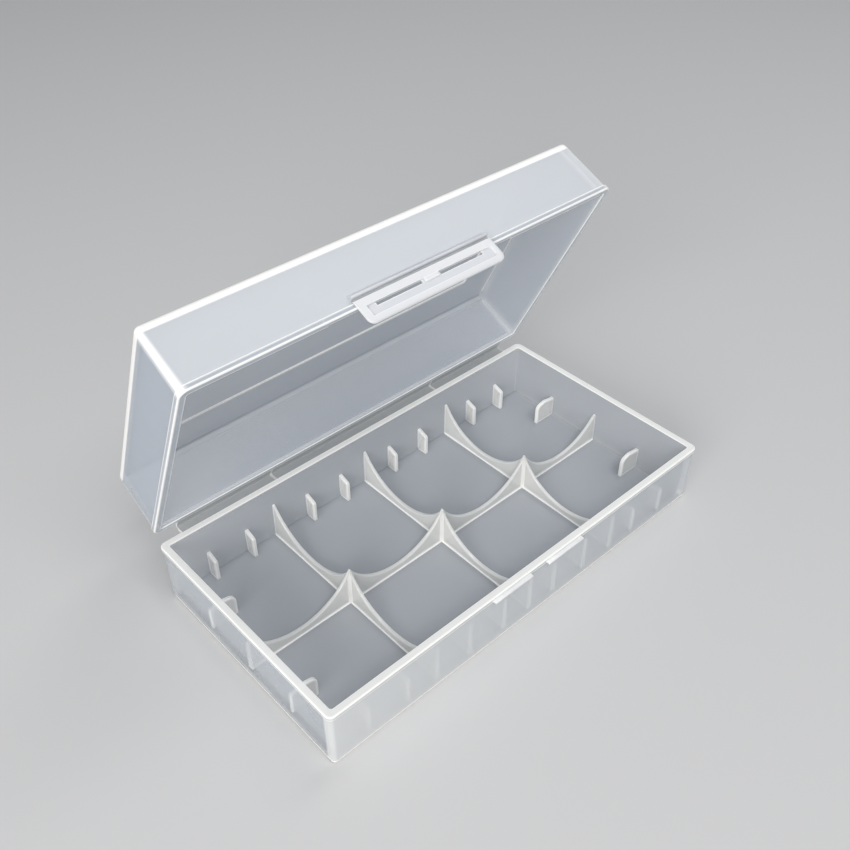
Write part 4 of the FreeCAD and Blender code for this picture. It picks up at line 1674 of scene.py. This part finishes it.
class GroupMaker:
    """Shader group with named inputs and outputs, and short ways to put nodes in it."""

    def __init__(self, name: str, inputs: Sequence[SocketPlan], outputs: Sequence[SocketPlan]) -> None:
        """Start a group with its sockets.

        Args:
            name: the group's name.
            inputs: its inputs, in order.
            outputs: its outputs, in order.
        """
        self.tree = bpy.data.node_groups.new(name, "ShaderNodeTree")
        for way, plans in (("INPUT", inputs), ("OUTPUT", outputs)):
            for plan in plans:
                socket = self.tree.interface.new_socket(plan.name, in_out=way, socket_type=plan.kind)
                if plan.value is not None:
                    socket.default_value = plan.value
        self.start = self.tree.nodes.new("NodeGroupInput")
        self.end = self.tree.nodes.new("NodeGroupOutput")

    def value(self, name: str) -> bpy.types.NodeSocket:
        """The socket that brings in one of the group's inputs."""
        return self.start.outputs[name]

    def put(self, name: str, socket: bpy.types.NodeSocket) -> None:
        """Send a socket out as one of the group's outputs."""
        self.tree.links.new(socket, self.end.inputs[name])

    def feed(self, slot: bpy.types.NodeSocket, item: bpy.types.NodeSocket | float) -> None:
        """Give an input its number, or link it to another socket."""
        if isinstance(item, (int, float)):
            slot.default_value = item
        else:
            self.tree.links.new(item, slot)

    def math(self, operation: str, first: bpy.types.NodeSocket | float,
             second: bpy.types.NodeSocket | float, clamp: bool = False) -> bpy.types.NodeSocket:
        """A Math node.

        Args:
            operation: what it does.
            first: its first value.
            second: its second value.
            clamp: whether its result stays between 0 and 1.

        Returns:
            Its result.
        """
        node = self.tree.nodes.new("ShaderNodeMath")
        node.operation = operation
        node.use_clamp = clamp
        for slot, item in zip(node.inputs, (first, second)):
            self.feed(slot, item)
        return node.outputs[0]

    def noise(self, position: bpy.types.NodeSocket, scale: bpy.types.NodeSocket | float, detail: float,
              stretch: tuple[float, float, float] = (1.0, 1.0, 1.0)) -> bpy.types.NodeSocket:
        """A noise pattern.

        Args:
            position: where it is read.
            scale: how fine it is.
            detail: how many finer layers it has.
            stretch: scale along each axis.

        Returns:
            Its value, near one half.
        """
        mapping = self.tree.nodes.new("ShaderNodeMapping")
        mapping.inputs["Scale"].default_value = stretch
        self.tree.links.new(position, mapping.inputs["Vector"])
        node = self.tree.nodes.new("ShaderNodeTexNoise")
        node.inputs["Detail"].default_value = detail
        self.tree.links.new(mapping.outputs[0], node.inputs["Vector"])
        self.feed(node.inputs["Scale"], scale)
        return node.outputs["Fac"]

    def mix(self, share: bpy.types.NodeSocket, first: bpy.types.NodeSocket, second: bpy.types.NodeSocket,
            kind: str) -> bpy.types.NodeSocket:
        """A Mix node.

        Args:
            share: how much of the second.
            first: what it mixes from.
            second: what it mixes to.
            kind: RGBA for colours, FLOAT for numbers.

        Returns:
            The mixture.
        """
        node = self.tree.nodes.new("ShaderNodeMix")
        node.data_type = kind
        from_slot, out_slot = (6, 2) if kind == "RGBA" else (2, 0)
        for number, socket in ((0, share), (from_slot, first), (from_slot + 1, second)):
            self.tree.links.new(socket, node.inputs[number])
        return node.outputs[out_slot]


def milk_group() -> bpy.types.ShaderNodeTree:
    """Group for plastic that is clear on broad faces and milky along its moulded edges.

    The milk share is the edge weight plus cloud times (noise - 0.5). Colour and opacity run from
    their clear to their milky values by that share; the milk is partly the plastic's own and partly
    painted light. A weight below zero takes them towards the shade instead: painted shade, for the
    dark line along an inner edge and over faces that lie inside the case.

    Returns:
        The group.
    """
    maker = GroupMaker("moulded_milk", [
        SocketPlan("Position", "NodeSocketVector"),
        SocketPlan("Edge", "NodeSocketFloat", 0.0),
        SocketPlan("Clear Tint", "NodeSocketColor", (0.5, 0.5, 0.5, 1.0)),
        SocketPlan("Milk Tint", "NodeSocketColor", (0.9, 0.9, 0.9, 1.0)),
        SocketPlan("Clear Opacity", "NodeSocketFloat", 0.3),
        SocketPlan("Milk Opacity", "NodeSocketFloat", 0.9),
        # The shade tint and opacity give the colour of the painted shade.
        SocketPlan("Shade Tint", "NodeSocketColor", (0.25, 0.27, 0.30, 1.0)),
        SocketPlan("Shade Opacity", "NodeSocketFloat", 0.8),
        SocketPlan("Cloud Scale", "NodeSocketFloat", 30.0),
        SocketPlan("Cloud", "NodeSocketFloat", 0.1),
    ], [SocketPlan("Color", "NodeSocketColor"), SocketPlan("Opacity", "NodeSocketFloat")])
    position = maker.value("Position")
    broad = maker.noise(position, maker.value("Cloud Scale"), 3.0)
    flow = maker.noise(position, 45.0, 2.0, (0.25, 1.6, 1.6))
    cloud = maker.math("SUBTRACT", maker.math("ADD", broad, flow), 1.0)
    shift = maker.math("MULTIPLY", cloud, maker.value("Cloud"))
    share = maker.math("ADD", maker.value("Edge"), shift, clamp=True)
    shade = maker.math("MULTIPLY", maker.value("Edge"), -1.0, clamp=True)
    colour = maker.mix(share, maker.value("Clear Tint"), maker.value("Milk Tint"), "RGBA")
    opacity = maker.mix(share, maker.value("Clear Opacity"), maker.value("Milk Opacity"), "FLOAT")
    maker.put("Color", maker.mix(shade, colour, maker.value("Shade Tint"), "RGBA"))
    maker.put("Opacity", maker.mix(shade, opacity, maker.value("Shade Opacity"), "FLOAT"))
    return maker.tree


def skin_group() -> bpy.types.ShaderNodeTree:
    """Group for a moulded gloss skin: faint ripples, flow lines, rubbed patches and fine scratches.

    Returns:
        The group.
    """
    maker = GroupMaker("moulded_skin", [
        SocketPlan("Position", "NodeSocketVector"),
        SocketPlan("Roughness", "NodeSocketFloat", 0.15),
        SocketPlan("Rubbing", "NodeSocketFloat", 0.1),
        SocketPlan("Ripple Scale", "NodeSocketFloat", 60.0),
        SocketPlan("Edge", "NodeSocketFloat", 0.0),
    ], [SocketPlan("Roughness", "NodeSocketFloat"), SocketPlan("Height", "NodeSocketFloat")])
    position = maker.value("Position")
    patches = maker.noise(position, 28.0, 4.0)
    scratches = maker.noise(position, 900.0, 2.0, (0.08, 1.0, 1.0))
    rubbed = maker.math("MULTIPLY", patches, maker.value("Rubbing"))
    worn = maker.math("MULTIPLY", maker.value("Edge"), 0.12)
    rough = maker.math("ADD", maker.math("ADD", maker.value("Roughness"), rubbed), worn, clamp=True)
    maker.put("Roughness", rough)
    ripple = maker.noise(position, maker.value("Ripple Scale"), 2.0)
    flow = maker.noise(position, 40.0, 1.0, (0.2, 2.2, 2.2))
    relief = maker.math("ADD", maker.math("MULTIPLY", ripple, 0.6), maker.math("MULTIPLY", flow, 0.6))
    maker.put("Height", maker.math("ADD", relief, maker.math("MULTIPLY", scratches, 0.06)))
    return maker.tree


def set_inputs(node: bpy.types.Node, values: dict[str, float | tuple[float, ...]]) -> None:
    """Give a node's inputs their values, by name."""
    for name, value in values.items():
        node.inputs[name].default_value = value


@dataclass(frozen=True)
class ClearFinish:
    """Clear polypropylene with a moulded gloss, milkier where it is thick."""

    name: FinishName
    clear_tint: Rgb
    milk_tint: Rgb
    clear_opacity: float
    milk_opacity: float
    roughness: float
    rubbing: float = 0.08
    cloud: float = 0.1
    cloud_scale: float = 14.0
    ripple_scale: float = 70.0
    ripple_depth: float = 0.05
    ripple_height: float = 0.0005
    scatter: float = 0.0
    scatter_depth: float = 0.002
    sheen_opacity: float = 0.35
    sheen_blend: float = 0.25
    coat: float = 0.6
    coat_roughness: float = 0.12
    refraction: float = 1.49

    def material(self, milk: bpy.types.ShaderNodeTree,
                 skin: bpy.types.ShaderNodeTree) -> bpy.types.Material:
        """Make the material.

        Args:
            milk: the group for colour and opacity.
            skin: the group for roughness and relief.

        Returns:
            The material.
        """
        material = bpy.data.materials.new(self.name.value)
        material.use_nodes = True
        material.surface_render_method = "BLENDED"
        tree = material.node_tree
        link = tree.links.new
        shader = tree.nodes["Principled BSDF"]
        set_inputs(shader, {
            "IOR": self.refraction,
            "Coat Weight": self.coat,
            "Coat Roughness": self.coat_roughness,
            "Subsurface Weight": self.scatter,
            "Subsurface Radius": (1.0, 1.0, 1.0),
            "Subsurface Scale": self.scatter_depth,
        })
        place = tree.nodes.new("ShaderNodeTexCoord").outputs["Object"]
        attribute = tree.nodes.new("ShaderNodeAttribute")
        attribute.attribute_name = EDGE
        edge = attribute.outputs["Fac"]
        colour = tree.nodes.new("ShaderNodeGroup")
        colour.node_tree = milk
        set_inputs(colour, {
            "Clear Tint": (*self.clear_tint, 1.0),
            "Milk Tint": (*self.milk_tint, 1.0),
            "Clear Opacity": self.clear_opacity,
            "Milk Opacity": self.milk_opacity,
            "Cloud Scale": self.cloud_scale,
            "Cloud": self.cloud,
        })
        surface = tree.nodes.new("ShaderNodeGroup")
        surface.node_tree = skin
        set_inputs(surface, {
            "Roughness": self.roughness,
            "Rubbing": self.rubbing,
            "Ripple Scale": self.ripple_scale,
        })
        for group in (colour, surface):
            link(place, group.inputs["Position"])
            link(edge, group.inputs["Edge"])
        link(colour.outputs["Color"], shader.inputs["Base Color"])
        link(surface.outputs["Roughness"], shader.inputs["Roughness"])
        bump = tree.nodes.new("ShaderNodeBump")
        set_inputs(bump, {"Strength": self.ripple_depth, "Distance": self.ripple_height})
        link(surface.outputs["Height"], bump.inputs["Height"])
        link(bump.outputs["Normal"], shader.inputs["Normal"])
        grazing = tree.nodes.new("ShaderNodeLayerWeight")
        set_inputs(grazing, {"Blend": self.sheen_blend})
        gloss = tree.nodes.new("ShaderNodeMath")
        gloss.operation = "MULTIPLY_ADD"
        gloss.use_clamp = True
        gloss.inputs[1].default_value = self.sheen_opacity
        link(grazing.outputs["Facing"], gloss.inputs[0])
        link(colour.outputs["Opacity"], gloss.inputs[2])
        link(gloss.outputs[0], shader.inputs["Alpha"])
        return material


def make_finishes() -> Finishes:
    """Make every finish of the case, by name."""
    milk, skin = milk_group(), skin_group()
    white, warm = (0.96, 0.955, 0.94), (0.96, 0.955, 0.925)
    plans = [
        ClearFinish(FinishName.TRAY_WALL, (0.635, 0.68, 0.74), warm, 0.18, 0.92, 0.22, cloud=0.04,
                    coat=0.0),
        # The lid is the same plastic as the tray with a darker clear tint: painted shade, as the inside of
        # the open lid lies in shade.
        ClearFinish(FinishName.LID_WALL, (0.55, 0.61, 0.70), white, 0.23, 0.92, 0.24, cloud=0.03,
                    coat=0.0),
        # The ribs are the same plastic with tints raised towards white: partly the milk of the ribs, partly
        # painted light for the light they scatter.
        ClearFinish(FinishName.RIB, (0.86, 0.86, 0.84), (0.985, 0.98, 0.955), 0.55, 0.97, 0.22, cloud=0.12,
                    scatter=0.4),
        ClearFinish(FinishName.LATCH, (0.46, 0.49, 0.58), (0.82, 0.825, 0.83), 0.55, 0.92, 0.2, cloud=0.1),
        ClearFinish(FinishName.HINGE, (0.40, 0.42, 0.43), white, 0.42, 0.75, 0.24, rubbing=0.2, cloud=0.3),
    ]
    return {plan.name: plan.material(milk, skin) for plan in plans}


@dataclass(frozen=True)
class SoftLamp:
    """A rectangular soft lamp that faces a point. Places are metres."""

    name: str
    place: Rgb
    aim: Rgb
    width: float
    height: float
    radiance: float
    colour: Rgb = (1.0, 1.0, 1.0)

    def build(self) -> None:
        """Put the lamp in the scene. Its power is pi times its area times its radiance."""
        lamp = bpy.data.lights.new(self.name, "AREA")
        lamp.shape = "RECTANGLE"
        lamp.size, lamp.size_y = self.width, self.height
        lamp.energy = math.pi * self.width * self.height * self.radiance
        lamp.color = self.colour
        holder = bpy.data.objects.new(self.name, lamp)
        away = np.subtract(self.place, self.aim)
        away = away / np.linalg.norm(away)
        across = np.cross([0.0, 0.0, 1.0], away)
        across = across / np.linalg.norm(across)
        turn = np.eye(4)
        turn[:3] = np.column_stack([across, np.cross(away, across), away, self.place])
        holder.matrix_world = Matrix(turn.tolist())
        bpy.context.scene.collection.objects.link(holder)


@dataclass
class Studio:
    """Plain pale floor, soft lamps, an even surrounding and the camera at the photograph's angle."""

    floor_tint: Rgb = (0.62, 0.62, 0.625)
    floor_half: float = 6.0
    floor_gap: float = 0.0002
    floor_roughness: float = 0.85
    floor_gloss: float = 0.2
    surround: Rgb = (0.92, 0.96, 1.0)
    surround_strength: float = 0.29
    backdrop: float = 0.80
    eye: Rgb = (-0.144767, -0.151064, 0.219270)
    turn_vector: Rgb = (2.138, -0.831, 0.389)
    focal_pixels: float = 1001.26
    frame_pixels: float = 850.0
    sensor: float = 36.0
    lamps: tuple[SoftLamp, ...] = (
        SoftLamp("long_soft_box", (0.445, 0.056, 0.875), (0.0, -0.01, 0.06), 0.22, 0.56, 3.0),
        SoftLamp("top_soft_box", (-0.10, -0.62, 1.08), (0.0, 0.0, 0.03), 0.60, 0.50, 5.8),
        SoftLamp("side_soft_box", (-1.05, -0.55, 0.55), (0.0, 0.0, 0.05), 0.80, 0.60, 8.0,
                 (1.0, 0.98, 0.945)),
    )

    def build_floor(self) -> None:
        """Lay the floor, a plain pale plane that isn't part of the object."""
        mesh = bpy.data.meshes.new("floor")
        h = self.floor_half
        mesh.from_pydata([(-h, -h, 0.0), (h, -h, 0.0), (h, h, 0.0), (-h, h, 0.0)], [], [(0, 1, 2, 3)])
        floor = bpy.data.objects.new("floor", mesh)
        material = bpy.data.materials.new("plain_floor")
        material.use_nodes = True
        shader = material.node_tree.nodes["Principled BSDF"]
        set_inputs(shader, {
            "Base Color": (*self.floor_tint, 1.0),
            "Roughness": self.floor_roughness,
            "Specular IOR Level": self.floor_gloss,
        })
        mesh.materials.append(material)
        bpy.context.scene.collection.objects.link(floor)
        floor.location.z = -self.floor_gap

    def build_surround(self) -> None:
        """Light the scene evenly from all round, with a pale backdrop where the camera or gloss sees it."""
        world = bpy.data.worlds.new("surround")
        world.use_nodes = True
        tree = world.node_tree
        tree.nodes.clear()
        light = tree.nodes.new("ShaderNodeBackground")
        set_inputs(light, {"Color": (*self.surround, 1.0), "Strength": self.surround_strength})
        plain = tree.nodes.new("ShaderNodeBackground")
        set_inputs(plain, {"Color": (self.backdrop, self.backdrop, self.backdrop, 1.0)})
        path = tree.nodes.new("ShaderNodeLightPath")
        seen = path.outputs["Is Camera Ray"]
        for ray in ("Is Glossy Ray", "Is Transmission Ray"):
            either = tree.nodes.new("ShaderNodeMath")
            either.operation = "MAXIMUM"
            tree.links.new(seen, either.inputs[0])
            tree.links.new(path.outputs[ray], either.inputs[1])
            seen = either.outputs[0]
        mix = tree.nodes.new("ShaderNodeMixShader")
        out = tree.nodes.new("ShaderNodeOutputWorld")
        for slot, socket in zip(mix.inputs, (seen, light.outputs[0], plain.outputs[0])):
            tree.links.new(socket, slot)
        tree.links.new(mix.outputs[0], out.inputs[0])
        bpy.context.scene.world = world

    def build_camera(self) -> None:
        """Set the camera from its eye point and turn vector.

        The turn vector's direction is the axis k and its length the angle t of the turn from the
        row frame to the lens, I + sin t K + (1 - cos t) K K, with K the cross product with k. The
        lens looks along +Z with Y down, so the last two axes change sign.
        """
        vector = np.asarray(self.turn_vector, float)
        angle = float(np.linalg.norm(vector))
        kx, ky, kz = vector / angle
        cross = np.array([[0.0, -kz, ky], [kz, 0.0, -kx], [-ky, kx, 0.0]])
        to_lens = np.eye(3) + math.sin(angle) * cross + (1 - math.cos(angle)) * cross @ cross
        place = np.eye(4)
        place[:3, :3] = to_lens.T @ np.diag([1.0, -1.0, -1.0])
        place[:3, 3] = self.eye
        data = bpy.data.cameras.new("camera")
        data.sensor_width = self.sensor
        data.lens = self.focal_pixels / self.frame_pixels * self.sensor
        data.clip_start, data.clip_end = 0.01, 30.0
        camera = bpy.data.objects.new("camera", data)
        camera.matrix_world = Matrix(place.tolist())
        bpy.context.scene.collection.objects.link(camera)
        bpy.context.scene.camera = camera

    def build(self) -> None:
        """Set up the whole studio."""
        scene = bpy.context.scene
        scene.view_settings.view_transform = "Standard"
        scene.cycles.transparent_max_bounces = 48
        self.build_camera()
        self.build_floor()
        self.build_surround()
        for lamp in self.lamps:
            lamp.build()


def main() -> None:
    """Build the studio, then each sub-assembly of the case, and fit every piece to its zone."""
    logging.basicConfig(level=logging.INFO, format="%(name)s: %(message)s")
    Studio().build()
    finishes = make_finishes()
    case = CaseSizes()
    for part in (TrayShell(case), Dividers(case), Stops(case), LidShell(case), LidHinge(case), Latch(case)):
        for piece in part.build(finishes):
            piece.fit()


if __name__ == "__main__":
    main()
